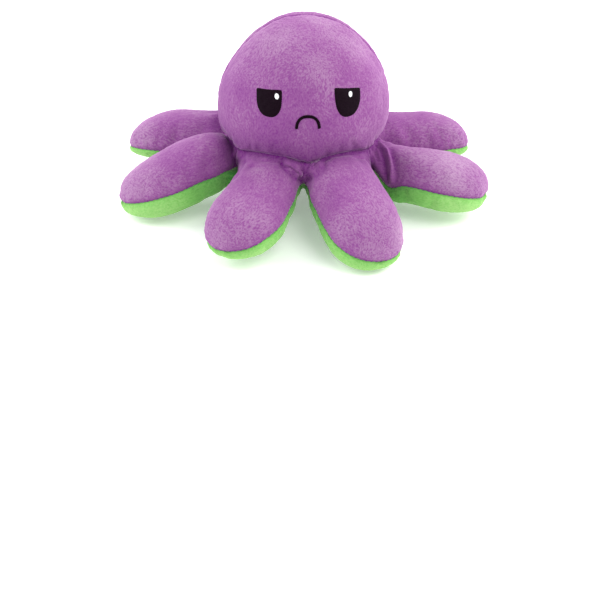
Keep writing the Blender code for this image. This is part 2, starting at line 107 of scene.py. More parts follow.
def ease(share: np.ndarray) -> np.ndarray:
    """Smooth rise from 0 to 1 as share goes from 0 to 1."""
    part = np.clip(share, 0.0, 1.0)
    return part * part * (3.0 - 2.0 * part)


def bell(distance: np.ndarray, width: float) -> np.ndarray:
    """Bell curve that is 1 at no distance and fades over a width."""
    return np.exp(-(distance / width) ** 2)


def turned(points: np.ndarray, angle: float) -> np.ndarray:
    """Points turned about the toy's axis by an angle in radians."""
    cos, sin = math.cos(angle), math.sin(angle)
    x, y, z = points[..., 0], points[..., 1], points[..., 2]
    return np.stack([x * cos - y * sin, x * sin + y * cos, z], axis=-1)


def lumps(points: np.ndarray, size: float, seed: float) -> np.ndarray:
    """Soft noise between -1 and 1.

    Args:
        points: places in millimetres, one row each.
        size: how far apart the lumps lie, in millimetres.
        seed: shift that makes one pattern differ from another.

    Returns:
        One value for each place.
    """
    shift = Vector((seed, -seed * 1.7, seed * 0.6))
    return np.array([noise.noise(Vector(place) / size + shift) for place in points])


@dataclass(frozen=True)
class Dome:
    """Egg-shaped bag that is drawn in at its open foot, in millimetres."""

    radius: float
    half_height: float
    centre: float
    foot_radius: float
    fade: float

    def lowest(self, foot: np.ndarray) -> np.ndarray:
        """Latitude of the foot's height."""
        return np.arcsin((foot - self.centre) / self.half_height)

    def points(self, azimuth: np.ndarray, latitude: np.ndarray, foot: np.ndarray) -> np.ndarray:
        """Points of the bag above a foot whose height is given."""
        height = self.centre + self.half_height * np.sin(latitude)
        pull = self.radius * np.cos(self.lowest(foot)) - self.foot_radius
        reach = self.radius * np.cos(latitude) - pull * np.exp(-(height - foot) / self.fade)
        return np.stack([reach * np.sin(azimuth), -reach * np.cos(azimuth), height], axis=-1)


@dataclass(frozen=True)
class Trunk:
    """Head and neck, in millimetres."""

    radius: float = 45.2
    half_height: float = 46.0
    centre: float = 53.0
    neck_radius: float = 41.0
    neck_height: float = 38.6
    neck_fade: float = 2.6
    front_rise: float = 1.6
    shoulder_drop: float = 1.3
    fork_drop: float = 3.4
    back_drop: float = 0.8
    pocket_radius: float = 26.0
    pocket_half_height: float = 37.0
    pocket_centre: float = 38.0
    mouth_radius: float = 20.9
    mouth_height: float = 16.4
    mouth_fade: float = 4.0
    cap_latitude: float = math.radians(58.0)
    seam_tilt: float = math.radians(8.0)
    face_turn: float = math.radians(3.0)

    def head(self) -> "Dome":
        """The purple head."""
        return Dome(self.radius, self.half_height, self.centre, self.neck_radius,
                    self.neck_fade)

    def pocket(self) -> "Dome":
        """The green head, which hangs inside the purple one as a pocket."""
        return Dome(self.pocket_radius, self.pocket_half_height, self.pocket_centre,
                    self.mouth_radius, self.mouth_fade)

    def neck(self, azimuth: np.ndarray) -> np.ndarray:
        """Height of the neck crease at an azimuth: it dips between the legs."""
        turn = (np.degrees(azimuth) + 180.0) % 360.0 - 180.0
        turn = turn - 4.0 * bell(turn, 25.0)
        dip = bell((turn + HALF_SLICE) % (2.0 * HALF_SLICE) - HALF_SLICE, 11.0)
        front = self.front_rise * bell(turn, 45.0)
        front = front - self.shoulder_drop * bell(np.abs(turn) - 62.0, 16.0)
        back = self.back_drop * (1.0 - np.cos(azimuth))
        return self.neck_height + front - self.fork_drop * dip - back

    def mouth(self, azimuth: np.ndarray) -> np.ndarray:
        """Height of the pocket's mouth at an azimuth."""
        return self.mouth_height + 0.0 * azimuth

    def seam_normal(self) -> np.ndarray:
        """Normal of the crown seam's plane, towards the face."""
        plain = np.array([0.0, -math.cos(self.seam_tilt), math.sin(self.seam_tilt)])
        return turned(plain, self.face_turn)

    def from_seam(self, points: np.ndarray, centre: float) -> np.ndarray:
        """Distance from the crown seam's plane through a bag's centre."""
        return np.abs((points - [0.0, 0.0, centre]) @ self.seam_normal())


@dataclass(frozen=True)
class LegPlan:
    """One leg in its own frame: x outwards, y towards greater azimuth, z up.

    Lengths are in millimetres and angles in degrees. The azimuth counts from the front towards
    the toy's left hand, which is the right of the picture.
    """

    name: str
    azimuth: float
    sweep: float = 0.0
    roll: float = 14.0
    reach: float = 100.8
    lift: float = 0.0
    slim: float = 0.0
    root: float = 40.3
    crotch: float = 38.25
    seam_root: float = 24.5
    seam_foot: float = 13.0
    foot_share: float = 0.78
    lift_start: float = 0.25
    crown: float = 16.8
    flat_crown: float = 0.74
    belly: float = 14.6
    hung_belly: float = 9.0
    root_belly: float = 9.3
    root_width: float = 18.0
    foot_width: float = 20.5
    swell_end: float = 0.6
    boxiness: float = 0.92
    crest_start: float = 50.0
    sag: float = 0.0
    sag_middle: float = 52.0
    sag_reach: float = 12.0
    hump: float = 0.0
    hump_middle: float = 60.0
    hump_reach: float = 16.0
    bluntness: float = 2.35
    sweep_power: float = 1.5
    roll_start: float = 41.0
    roll_run: float = 16.0
    gap: float = 2.4
    gap_run: float = 1.8
    gap_growth: float = 0.05

    @property
    def body(self) -> str:
        """Body that the leg's tip rides on."""
        return self.name + "_leg"

    @property
    def front_side(self) -> int:
        """Side of the leg that faces the front: 1 for its +y side and -1 for its -y side."""
        return 1 if self.azimuth > 180 else -1

    def share(self, x: np.ndarray) -> np.ndarray:
        """Share of the leg's length at x."""
        return np.clip((x - self.root) / (self.reach - self.root), 0.0, 1.0)

    def middle(self, x: np.ndarray) -> np.ndarray:
        """Height of the leg's widest line."""
        share = self.share(x)
        sag = self.sag * bell(x - self.sag_middle, self.sag_reach)
        sag = sag * ease((x - self.crotch) / 8.0)
        fall = (self.seam_foot - self.seam_root) * share / self.foot_share
        lift = self.lift * ease((share - self.lift_start) / (1.0 - self.lift_start))
        return self.seam_root + fall + lift - sag

    def section(self, x: np.ndarray, angle: np.ndarray) -> np.ndarray:
        """Points of the leg's surface.

        Args:
            x: distance from the toy's axis.
            angle: angle round the section, 0 on the +y side and a right angle on top.

        Returns:
            Points in the leg's own frame.
        """
        share = self.share(x)
        past_half = np.clip(2.0 * share - 1.0, 0.0, 1.0)
        tip = (1.0 - past_half ** self.bluntness) ** (1.0 / self.bluntness)
        swell = ease(share / self.swell_end)
        wanted = self.root_width - self.slim + (self.foot_width - self.root_width) * swell
        past = np.maximum(x - self.crotch, 0.0)
        gap = self.gap * (1.0 - np.exp(-past / self.gap_run)) + self.gap_growth * past
        bend = math.radians(self.sweep) * share ** self.sweep_power
        slice_angle = math.radians(HALF_SLICE) - np.abs(bend)
        width = np.minimum(wanted, x * np.tan(slice_angle) - gap) * tip
        root = np.sqrt(np.clip(1.0 - (1.0 - 2.0 * np.minimum(share, 0.5)) ** 2, 0.0, 1.0))
        crown = self.crown * (self.flat_crown + (1.0 - self.flat_crown) * root)
        crown = (crown + self.hump * bell(x - self.hump_middle, self.hump_reach)) * tip
        hang = (self.hung_belly + (self.belly - self.hung_belly) * swell) * root * tip
        belly = np.maximum(hang, self.root_belly * tip)
        cos, sin = np.cos(angle), np.sin(angle)
        across = width * np.sign(cos) * np.abs(cos) ** self.boxiness
        rise = np.where(sin > 0, crown, belly) * np.sign(sin) * np.abs(sin) ** self.boxiness
        return np.stack([x * np.cos(bend) - across * np.sin(bend),
                         x * np.sin(bend) + across * np.cos(bend),
                         self.middle(x) + rise], axis=-1)

    def seam_angles(self, x: np.ndarray) -> tuple:
        """Angles of the edge seam on the -y and +y side, turned up where it faces the front."""
        rolled = ease((x - self.roll_start) / self.roll_run)
        turn = math.radians(self.roll) * rolled * self.front_side
        return math.pi + turn, turn

    def rows(self, layer: Layer, trunk: Trunk, columns: int, root_rows: int,
             leg_rows: int) -> np.ndarray:
        """Rows of points over one cloth of the leg, from its root to its tip.

        Args:
            layer: which of the leg's cloths.
            trunk: sizes of the head and neck.
            columns: steps across the leg.
            root_rows: steps from neck or mouth to the crotch.
            leg_rows: steps from the crotch to the tip.

        Returns:
            An array of rows, columns and coordinates in the toy's frame.
        """
        across = np.linspace(-1.0, 1.0, columns + 1)[None, :]
        along = np.linspace(0.0, 1.0, leg_rows + 1)[:, None]
        spaced = along * (1.0 + 0.9 * (1.0 - along))
        edge_x = self.crotch + (self.reach - self.crotch) * spaced
        crest_x = self.crest_start + (self.reach - self.crest_start) * spaced
        low, high = self.seam_angles(edge_x)
        if layer is Layer.UNDER:
            high = high + 2.0 * math.pi
        angle = low + (high - low) * (across + 1.0) / 2.0
        middle = np.clip(np.cos(across * math.pi / 2.0), 0.0, 1.0) ** 0.9
        outer = self.section(edge_x + (crest_x - edge_x) * middle, angle)
        share = np.linspace(0.0, 1.0, root_rows + 1)[:-1, None]
        turn = across * math.radians(HALF_SLICE)
        if layer is Layer.TOP:
            radius, height = trunk.neck_radius, trunk.neck(turn + math.radians(self.azimuth))
            share_out, share_up = share ** 1.2, share ** 0.8
            dip = 0.0
        else:
            radius, height = trunk.mouth_radius, trunk.mouth_height
            share_out, share_up = share, share ** 1.5
            dip = 2.6 * np.sin(math.pi * share)
        start_x, start_y = radius * np.cos(turn), radius * np.sin(turn)
        inner = np.stack([start_x + (outer[:1, :, 0] - start_x) * share_out,
                          start_y + (outer[:1, :, 1] - start_y) * share_out,
                          height + (outer[:1, :, 2] - height) * share_up - dip], axis=-1)
        points = np.concatenate([inner, outer], axis=0)
        return turned(points, math.radians(self.azimuth - 90.0))

    def local(self, points: np.ndarray) -> np.ndarray:
        """Points of the toy's frame in the leg's own frame."""
        return turned(points, -math.radians(self.azimuth - 90.0))


LEGS = (
    LegPlan("front_right", 22.5, roll=9.0, reach=98.8, belly=12.4, seam_foot=11.9, crown=17.6),
    LegPlan("side_front_right", 67.5, sweep=5.0, roll=16.0, lift=3.2, belly=10.4, crown=16.4,
            sag=3.2, bluntness=2.8),
    LegPlan("side_back_right", 112.5, sweep=-5.0, roll=4.0, reach=94.8, lift=6.4, slim=1.0,
            belly=9.0, crown=14.2),
    LegPlan("back_right", 157.5, roll=8.0, belly=14.8),
    LegPlan("back_left", 202.5, roll=8.0, belly=14.8),
    LegPlan("side_back_left", 247.5, sweep=5.0, roll=3.0, reach=100.4, lift=5.2, slim=1.0,
            belly=8.0, crown=15.2),
    LegPlan("side_front_left", 292.5, sweep=-5.0, roll=17.0, lift=-0.8, belly=11.0, crown=17.4,
            hump=3.4, roll_start=38.4, roll_run=10.0),
    LegPlan("front_left", 337.5, roll=13.0, reach=97.4, lift=3.4, belly=9.9, crown=15.4),
)


def make_object(name: str, data: bpy.types.ID) -> bpy.types.Object:
    """Put data in the scene as an object at the origin."""
    item = bpy.data.objects.new(name, data)
    bpy.context.scene.collection.objects.link(item)
    return item


def mesh_of(name: str, points: np.ndarray, faces: list) -> bpy.types.Mesh:
    """Mesh in metres from points in millimetres."""
    mesh = bpy.data.meshes.new(name)
    mesh.from_pydata((points * MM).tolist(), [], faces)
    mesh.update()
    return mesh


def places(mesh: bpy.types.Mesh) -> np.ndarray:
    """Vertex places of a mesh in millimetres."""
    flat = np.zeros(len(mesh.vertices) * 3, np.float32)
    mesh.vertices.foreach_get("co", flat)
    return flat.reshape(-1, 3).astype(float) / MM


def directions(mesh: bpy.types.Mesh) -> np.ndarray:
    """Vertex normals of a mesh."""
    flat = np.zeros(len(mesh.vertices) * 3, np.float32)
    mesh.vertex_normals.foreach_get("vector", flat)
    return flat.reshape(-1, 3).astype(float)


def put(mesh: bpy.types.Mesh, points: np.ndarray) -> None:
    """Move the vertices of a mesh to places in millimetres."""
    mesh.vertices.foreach_set("co", (points * MM).astype(np.float32).ravel())
    mesh.update()


def settled(item: bpy.types.Object) -> bpy.types.Object:
    """Apply an object's modifiers to its mesh."""
    graph = bpy.context.evaluated_depsgraph_get()
    made = bpy.data.meshes.new_from_object(item.evaluated_get(graph))
    item.modifiers.clear()
    old, item.data = item.data, made
    bpy.data.meshes.remove(old)
    return item


@contextmanager
def edited(mesh: bpy.types.Mesh) -> Iterator[bmesh.types.BMesh]:
    """Open a mesh as a bmesh, and write it back at the end."""
    builder = bmesh.new()
    builder.from_mesh(mesh)
    yield builder
    builder.to_mesh(mesh)
    builder.free()


def weld(mesh: bpy.types.Mesh, distance: float) -> None:
    """Merge points closer than a distance in millimetres, and turn all faces outwards."""
    with edited(mesh) as builder:
        bmesh.ops.remove_doubles(builder, verts=builder.verts, dist=distance * MM)
        bmesh.ops.recalc_face_normals(builder, faces=builder.faces)


def store(mesh: bpy.types.Mesh, name: str, values: np.ndarray) -> None:
    """Keep a number or a vector for every point of a mesh as an attribute."""
    vectors = values.ndim == 2
    stored = mesh.attributes.new(name, "FLOAT_VECTOR" if vectors else "FLOAT", "POINT")
    stored.data.foreach_set("vector" if vectors else "value", values.astype(np.float32).ravel())


def smooth_shaded(mesh: bpy.types.Mesh) -> None:
    """Shade every face of a mesh smooth."""
    mesh.polygons.foreach_set("use_smooth", [True] * len(mesh.polygons))
    mesh.update()


@dataclass(frozen=True)
class Seam:
    """How the skin is drawn in along a kind of seam, in millimetres.

    The groove has a depth and width, and beside it the cloth ripples as far as its reach; shade
    and shade_width give the painted shade along it.
    """

    name: str
    depth: float
    width: float
    ripple: float
    ripple_size: float
    reach: float
    shade: float
    shade_width: float
    seed: float


CROWN = Seam("crown", 0.75, 1.3, 0.42, 2.6, 4.0, 0.75, 1.0, 21.0)
SEAMS = (
    Seam("edge", 0.75, 1.3, 0.55, 2.4, 4.6, 0.55, 0.8, 31.0),
    Seam("neck", 0.7, 2.2, 0.8, 3.2, 6.0, 0.5, 2.2, 47.0),
    Seam("web", 0.4, 1.2, 0.7, 2.8, 5.0, 0.5, 1.6, 53.0),
    Seam("fork", 0.9, 1.8, 0.7, 3.6, 6.0, 0.8, 2.4, 67.0),
    Seam("mouth", 0.7, 1.4, 0.6, 3.0, 6.0, 0.6, 1.6, 71.0),
)


# Soft lumps over the whole skin: how high they stand (mm), how wide they are (mm), and a seed.
LUMPS = ((0.5, 19.0, 3.0), (0.22, 8.0, 9.0), (0.16, 1.7, 5.0))
# Front legs' shoulders: azimuth (degrees), how far they drop and how far they stand out (mm).
SHOULDERS = ((50.0, 3.6, 2.6), (-49.0, 1.6, 0.3))
# Spots of painted light, where the pile is painted paler: place (mm), reach (mm), how much
# deeper it looks (below zero, paler).
PAINTED_LIGHT_MARKS = (
    ((31.0, -44.0, 50.0), 12.0, -0.30),
    ((68.6, -28.0, 28.0), 14.0, -0.42),
    ((48.0, -78.0, 8.0), 14.0, -0.25),
    ((-56.0, 23.0, 25.0), 14.0, -0.20),
    ((-18.0, -48.0, 32.0), 12.0, -0.15),
)


@dataclass(frozen=True)
class Pleat:
    """Fold of cloth that stands up along a line at a leg's root, in millimetres."""

    azimuth: float
    radius: float
    low: float
    high: float
    height: float
    width: float
    offset: float = 0.0
    reach: float = 9.0
    valley_depth: float = 0.6
    shade: float = 0.5

    def shape(self, points: np.ndarray) -> tuple:
        """How far the fold raises each point, and how much painted shade the valleys beside it
        get.
        """
        turn = math.radians(self.azimuth)
        aside = points[:, 0] * math.cos(turn) + points[:, 1] * math.sin(turn) - self.offset
        out = points[:, 0] * math.sin(turn) - points[:, 1] * math.cos(turn)
        above = points[:, 2] - (self.low + self.high) / 2.0
        near = bell(out - self.radius, self.reach) * bell(above, 0.6 * (self.high - self.low))
        apart, wide = 2.2 * self.width, 1.2 * self.width
        valley = bell(aside - apart, wide) + bell(aside + apart, wide)
        raised = bell(aside, self.width) - self.valley_depth * valley
        return near * self.height * raised, self.shade * near * valley


PLEATS = (
    Pleat(0.0, 29.0, 18.0, 42.0, 3.2, 1.5, offset=41.0),
    Pleat(-107.0, 46.0, 34.0, 44.0, 2.6, 3.2),
    Pleat(6.5, 42.0, 26.0, 36.0, 0.8, 0.9),
    Pleat(-4.0, 42.0, 26.0, 36.0, 0.7, 0.8),
    Pleat(36.0, 47.0, 27.0, 38.0, 0.7, 1.2),
    Pleat(-33.0, 47.0, 27.0, 38.0, 0.6, 1.2),
    Pleat(140.0, 46.0, 24.0, 37.0, 1.1, 1.2),
    Pleat(-128.0, 46.0, 24.0, 37.0, 1.0, 1.1),
)


@dataclass(frozen=True)
class Gather:
    """Two creases that rise from the fork between two legs and spread below the head.

    Lengths are in millimetres, and the cloth between the creases is filled out.
    """

    azimuth: float
    radius: float
    low: float
    high: float
    spread: float
    depth: float
    width: float
    filling: float
    reach: float = 9.0
    fade: float = 4.0
    shade: float = 0.5

    def shape(self, points: np.ndarray) -> tuple:
        """How far the gather moves each point, and how much painted shade its creases get."""
        turn = math.radians(self.azimuth)
        aside = np.abs(points[:, 0] * math.cos(turn) + points[:, 1] * math.sin(turn))
        out = points[:, 0] * math.sin(turn) - points[:, 1] * math.cos(turn)
        share = np.clip((points[:, 2] - self.low) / (self.high - self.low), 0.0, 1.0)
        line = self.spread * share ** 1.4
        near = bell(out - self.radius, self.reach)
        near = near * ease((points[:, 2] - self.low + 3.0) / self.fade)
        near = near * (1.0 - ease((points[:, 2] - self.high) / self.fade))
        crease = near * bell(aside - line, self.width)
        inside = near * ease((line - aside) / 3.0)
        return self.filling * inside - self.depth * crease, self.shade * crease


GATHERS = (
    Gather(0.0, 42.0, 24.5, 37.0, 10.5, 1.1, 1.0, 1.6),
    Gather(-45.0, 42.0, 24.5, 36.0, 6.0, 0.4, 1.1, 0.6),
    Gather(135.0, 42.0, 24.5, 36.0, 7.0, 0.5, 1.1, 0.8),
    Gather(180.0, 42.0, 24.5, 36.0, 9.0, 0.6, 1.1, 1.0),
    Gather(-135.0, 42.0, 24.5, 36.0, 7.0, 0.5, 1.1, 0.8),
)


@dataclass(frozen=True)
class Dent:
    """Place where the stuffed head is flatter than an egg, in a direction from its middle."""

    direction: tuple
    depth: float
    width: float

    def depth_at(self, points: np.ndarray, height: float) -> np.ndarray:
        """How far the dent draws each point in, for a head whose middle is at a height."""
        own = points - np.array([0.0, 0.0, height])
        own /= np.linalg.norm(own, axis=1)[:, None]
        aim = np.array(self.direction) / np.linalg.norm(self.direction)
        return self.depth * bell(np.arccos(np.clip(own @ aim, -1.0, 1.0)), self.width)


DENTS = (
    Dent((-0.75, 0.3, 0.58), 2.0, 0.5),
    Dent((-0.72, -0.25, 0.62), 0.8, 0.42),
    Dent((0.70, -0.1, 0.66), 1.5, 0.4),
    Dent((-0.15, -0.3, 0.95), 0.7, 0.4),
)


@dataclass(frozen=True)
class PaintedLightAndShade:
    """Painted shade and painted light on the pile over the toy; lengths are in millimetres."""

    chin: float = 0.33
    chin_reach: float = 14.0
    lit_share: float = 0.7
    lit_from: float = 2.0
    lit_run: float = 18.0
    crown: float = 0.16
    crown_height: float = 68.0
    crown_run: float = 20.0
    root: float = 0.06
    root_radius: float = 41.0
    root_reach: float = 10.0
    tip: float = 0.24
    tip_radius: float = 70.0
    tip_run: float = 22.0
    under_root: float = 0.60
    under_radius: float = 36.0
    under_reach: float = 28.0
    under_tip: float = 0.35
    under_tip_radius: float = 66.0
    under_tip_run: float = 24.0

    def shade(self, points: np.ndarray, borders: dict, trunk: Trunk) -> np.ndarray:
        """How much painted shade or, below zero, painted light each point gets.

        Args:
            points: points of the skin in millimetres.
            borders: which patches each point lies on.
            trunk: sizes of the head and neck.

        Returns:
            One value for each point.
        """
        radius = np.hypot(points[:, 0], points[:, 1])
        above = points[:, 2] - trunk.neck(np.arctan2(points[:, 0], -points[:, 1]))
        # Painted light: the chin's painted shade is weaker on its lit side.
        lit = self.lit_share * ease((points[:, 0] - self.lit_from) / self.lit_run)
        head = self.chin * bell(above, self.chin_reach) * (1.0 - lit)
        head = head - self.crown * ease((points[:, 2] - self.crown_height) / self.crown_run)
        top = self.root * bell(radius - self.root_radius, self.root_reach)
        top = top - self.tip * ease((radius - self.tip_radius) / self.tip_run)
        under = self.under_root * bell(radius - self.under_radius, self.under_reach)
        under = under - self.under_tip * ease(
            (radius - self.under_tip_radius) / self.under_tip_run)
        leg = np.where(borders["top"], top, under) * ~borders["pocket"]
        shade = np.where(borders["head"], head, leg)
        # Spots of painted light: the pile is painted paler where it stands in light.
        for place, reach, deeper in PAINTED_LIGHT_MARKS:
            away = np.linalg.norm(points - np.array(place), axis=-1)
            shade = shade + deeper * bell(away, reach) * (borders["head"] | borders["top"])
        return shade


@dataclass
class Skin:
    """Both cloths of the toy as one welded mesh, before they are cut along their seams."""

    trunk: Trunk = field(default_factory=Trunk)
    columns: int = 28
    top_rows: int = 10
    under_rows: int = 12
    leg_rows: int = 38
    head_rows: int = 36
    pocket_rows: int = 26
    enlarged: float = 10.0
    slack_share: float = 0.03
    pressure: float = 4.0
    quality: int = 4
    mass: float = 0.3
    stretch_stiffness: float = 12.0
    shear_stiffness: float = 6.0
    bending_stiffness: float = 0.4
    frames: int = 20
    most_swell: float = 2.2
    swell_share: float = 0.85
    swell_step: float = 2.0
    swell_steps: int = 12
    seam_hold: float = 3.0
    sag: float = 1.4
    crumple: float = 2.2
    fold_fade: float = 5.0
    lowest: float = 0.2
    spread: float = math.radians(14.0)
    spread_middle: float = math.radians(46.0)
    spread_width: float = math.radians(18.0)
    spread_start: float = 41.0
    spread_inside: float = 50.0
    spread_fade: float = 8.0
    shoulder_radius: float = 52.0
    shoulder_reach: float = 9.0
    shoulder_width: float = math.radians(12.0)
    head_patch: int = 100
    pocket_patch: int = 101

    def grid_faces(self, start: int, rows: int, columns: int) -> list:
        """Faces between the points of a grid that starts at an index."""
        width = columns + 1
        return [(start + row * width + column, start + row * width + column + 1,
                 start + (row + 1) * width + column + 1, start + (row + 1) * width + column)
                for row in range(rows) for column in range(columns)]

    def dome_grids(self, dome: Dome, foot: Callable, rows: int) -> list:
        """Grids of a bag: one for each leg's slice, and a square cap at the crown.

        Args:
            dome: the bag.
            foot: gives the height of its open edge at an azimuth.
            rows: steps from the edge to the cap.

        Returns:
            The grids as arrays of rows, columns and coordinates.
        """
        grids = []
        cap = self.trunk.cap_latitude
        for plan in LEGS:
            turn = np.linspace(-1.0, 1.0, self.columns + 1)[None, :]
            azimuth = math.radians(plan.azimuth) + turn * math.radians(HALF_SLICE)
            lowest = dome.lowest(foot(azimuth))
            share = np.linspace(0.0, 1.0, rows + 1)[:, None]
            latitude = lowest + (cap - lowest) * share
            grids.append(dome.points(azimuth + 0.0 * latitude, latitude, foot(azimuth)))
        side = 2 * self.columns
        step = np.linspace(-1.0, 1.0, side + 1)
        u, v = np.meshgrid(step, step)
        reach = np.maximum(np.abs(u), np.abs(v))
        safe = np.where(reach > 0, reach, 1.0)
        quarter = np.where(np.abs(u) >= np.abs(v), np.sign(u) * v / safe, np.sign(v) * -u / safe)
        turn = np.where(np.abs(u) >= np.abs(v), np.where(u > 0, 0.0, math.pi),
                        np.where(v > 0, math.pi / 2, -math.pi / 2))
        azimuth = turn + quarter * math.pi / 4
        grids.append(dome.points(azimuth, math.pi / 2 - (math.pi / 2 - cap) * reach,
                                 foot(azimuth)))
        return grids

    def build(self) -> bpy.types.Object:
        """Weld all patches into one skin, with the number of its patch on every face."""
        points, faces, patches = [], [], []
        count = 0

        def add(grid: np.ndarray, patch: int) -> None:
            nonlocal count
            rows, width, _ = grid.shape
            made = self.grid_faces(count, rows - 1, width - 1)
            points.append(grid.reshape(-1, 3))
            faces.extend(made)
            patches.extend([patch] * len(made))
            count += rows * width

        for index, plan in enumerate(LEGS):
            for layer, root_rows in ((Layer.TOP, self.top_rows), (Layer.UNDER, self.under_rows)):
                grid = plan.rows(layer, self.trunk, self.columns, root_rows, self.leg_rows)
                add(grid, 2 * index + layer.value)
        for grid in self.dome_grids(self.trunk.head(), self.trunk.neck, self.head_rows):
            add(grid, self.head_patch)
        for grid in self.dome_grids(self.trunk.pocket(), self.trunk.mouth, self.pocket_rows):
            add(grid, self.pocket_patch)
        mesh = mesh_of("skin", np.concatenate(points), faces)
        mesh.attributes.new("patch", "INT", "FACE").data.foreach_set("value", patches)
        weld(mesh, 0.02)
        return make_object("skin", mesh)

    def fill_out(self, item: bpy.types.Object) -> None:
        """Fill the skin out with a cloth simulation, held at its seams."""
        mesh = item.data
        start = places(mesh)
        log.info("skin: %d points, %d faces", len(mesh.vertices), len(mesh.polygons))
        scene = bpy.context.scene
        work = make_object("inflated", mesh.copy())
        put(work.data, start * self.enlarged)
        borders = self.borders(mesh)
        held = borders["edge"] | borders["neck"] | borders["fork"] | borders["web"]
        held |= borders["pocket"]
        held |= borders["head"] & (self.trunk.from_seam(start, self.trunk.centre) < 0.9)
        pins = work.vertex_groups.new(name="held")
        pins.add(np.flatnonzero(held).tolist(), 1.0, "REPLACE")
        cloth = work.modifiers.new("cloth", "CLOTH")
        made = cloth.settings
        made.quality = self.quality
        made.mass = self.mass
        made.tension_stiffness = made.compression_stiffness = self.stretch_stiffness
        made.shear_stiffness = self.shear_stiffness
        made.bending_stiffness = self.bending_stiffness
        made.shrink_min = -self.slack_share
        made.use_pressure = True
        made.uniform_pressure_force = self.pressure
        made.vertex_group_mass = "held"
        made.effector_weights.gravity = 0.0
        cloth.collision_settings.use_collision = False
        cloth.point_cache.frame_start = 1
        cloth.point_cache.frame_end = self.frames
        for frame in range(1, self.frames + 1):
            scene.frame_set(frame)
        settled(work)
        moved = places(work.data) / self.enlarged - start
        scene.frame_set(1)
        bpy.data.objects.remove(work)
        size = np.linalg.norm(moved, axis=1)
        limit = self.most_swell * np.tanh(size / self.most_swell) / np.maximum(size, 0.001)
        log.info("cloth simulation: moved %.2f mm on average, %.2f mm at most",
                 size.mean(), size.max())
        _, apart = self.nearest_of(start, held)
        moved *= (limit * ease(apart / self.seam_hold))[:, None]
        put(mesh, start + moved - self.average_swell(mesh, moved, apart, borders))

    def nearest_of(self, points: np.ndarray, chosen: np.ndarray) -> tuple:
        """Nearest chosen point to every point: its index and how far off it is."""
        tree = KDTree(int(chosen.sum()))
        for index in np.flatnonzero(chosen):
            tree.insert(points[index], int(index))
        tree.balance()
        found = [tree.find(place) for place in points]
        return np.array([hit[1] for hit in found]), np.array([hit[2] for hit in found])

    def average_swell(self, mesh: bpy.types.Mesh, moved: np.ndarray, apart: np.ndarray,
                      borders: dict) -> np.ndarray:
        """Average swell of the cloth at each distance from its seams.

        The toy keeps its size when this is taken out, and only the way that the cloth fills
        out and wrinkles is left.
        """
        normals = directions(mesh)
        swell = np.einsum("ij,ij->i", moved, normals)
        level = np.zeros(len(swell))
        steps = self.swell_steps
        middles = self.swell_step * (np.arange(steps) + 0.5)
        for part in ("head", "top", "under"):
            own = borders[part]
            step = np.clip(apart[own] // self.swell_step, 0, steps - 1).astype(int)
            total = np.bincount(step, swell[own], steps)
            mean = total / np.maximum(np.bincount(step, minlength=steps), 1)
            level[own] = np.interp(apart[own], middles, mean)
        return normals * (level * self.swell_share)[:, None]

    def refine(self, item: bpy.types.Object) -> None:
        """Subdivide the skin once."""
        subdivision = item.modifiers.new("finer", "SUBSURF")
        subdivision.levels = 1
        subdivision.render_levels = 1
        settled(item)

    def borders(self, mesh: bpy.types.Mesh) -> dict:
        """Points where patches meet, by the kind of seam.

        Args:
            mesh: the welded skin.

        Returns:
            True or false for every vertex, by the name of the seam.
        """
        numbers = np.zeros(len(mesh.polygons), np.int32)
        mesh.attributes["patch"].data.foreach_get("value", numbers)
        corners = np.zeros(len(mesh.loops), np.int32)
        mesh.loops.foreach_get("vertex_index", corners)
        sizes = np.zeros(len(mesh.polygons), np.int32)
        mesh.polygons.foreach_get("loop_total", sizes)
        patch = np.repeat(numbers, sizes)
        count = len(mesh.vertices)

        def touches(chosen: np.ndarray) -> np.ndarray:
            found = np.zeros(count, bool)
            found[corners[chosen]] = True
            return found

        def several(chosen: np.ndarray) -> np.ndarray:
            least, most = np.full(count, 1000), np.full(count, -1)
            np.minimum.at(least, corners[chosen], patch[chosen])
            np.maximum.at(most, corners[chosen], patch[chosen])
            return (most >= 0) & (least != most)

        head, pocket = patch == self.head_patch, patch == self.pocket_patch
        top = ~head & ~pocket & (patch % 2 == Layer.TOP.value)
        under = ~head & ~pocket & (patch % 2 == Layer.UNDER.value)
        return {"head": touches(head), "pocket": touches(pocket), "top": touches(top),
                "under": touches(under),
                "edge": touches(top) & touches(under), "neck": touches(top) & touches(head),
                "web": several(top), "fork": several(under),
                "mouth": touches(pocket) & touches(under)}

    def sculpt(self, item: bpy.types.Object) -> None:
        """Draw seams in, pucker the cloth beside them, lay soft lumps and folds over it, and
        keep painted shade and painted light as the depth attribute.
        """
        mesh = item.data
        points, normals = places(mesh), directions(mesh)
        borders = self.borders(mesh)
        move = sum(height * lumps(points, size, seed) for height, size, seed in LUMPS)
        # crease gathers painted shade; where it runs below zero it is painted light.
        crease = np.zeros(len(points))
        for seam in SEAMS:
            beside, away = self.nearest_of(points, borders[seam.name])
            nearest = points[beside]
            near = away < 4.0 * seam.reach
            ripple = np.zeros(len(points))
            ripple[near] = lumps(nearest[near], seam.ripple_size, seam.seed)
            move -= seam.depth * bell(away, seam.width)
            move += seam.ripple * ripple * bell(away, seam.reach) * (1.0 - bell(away, 0.9))
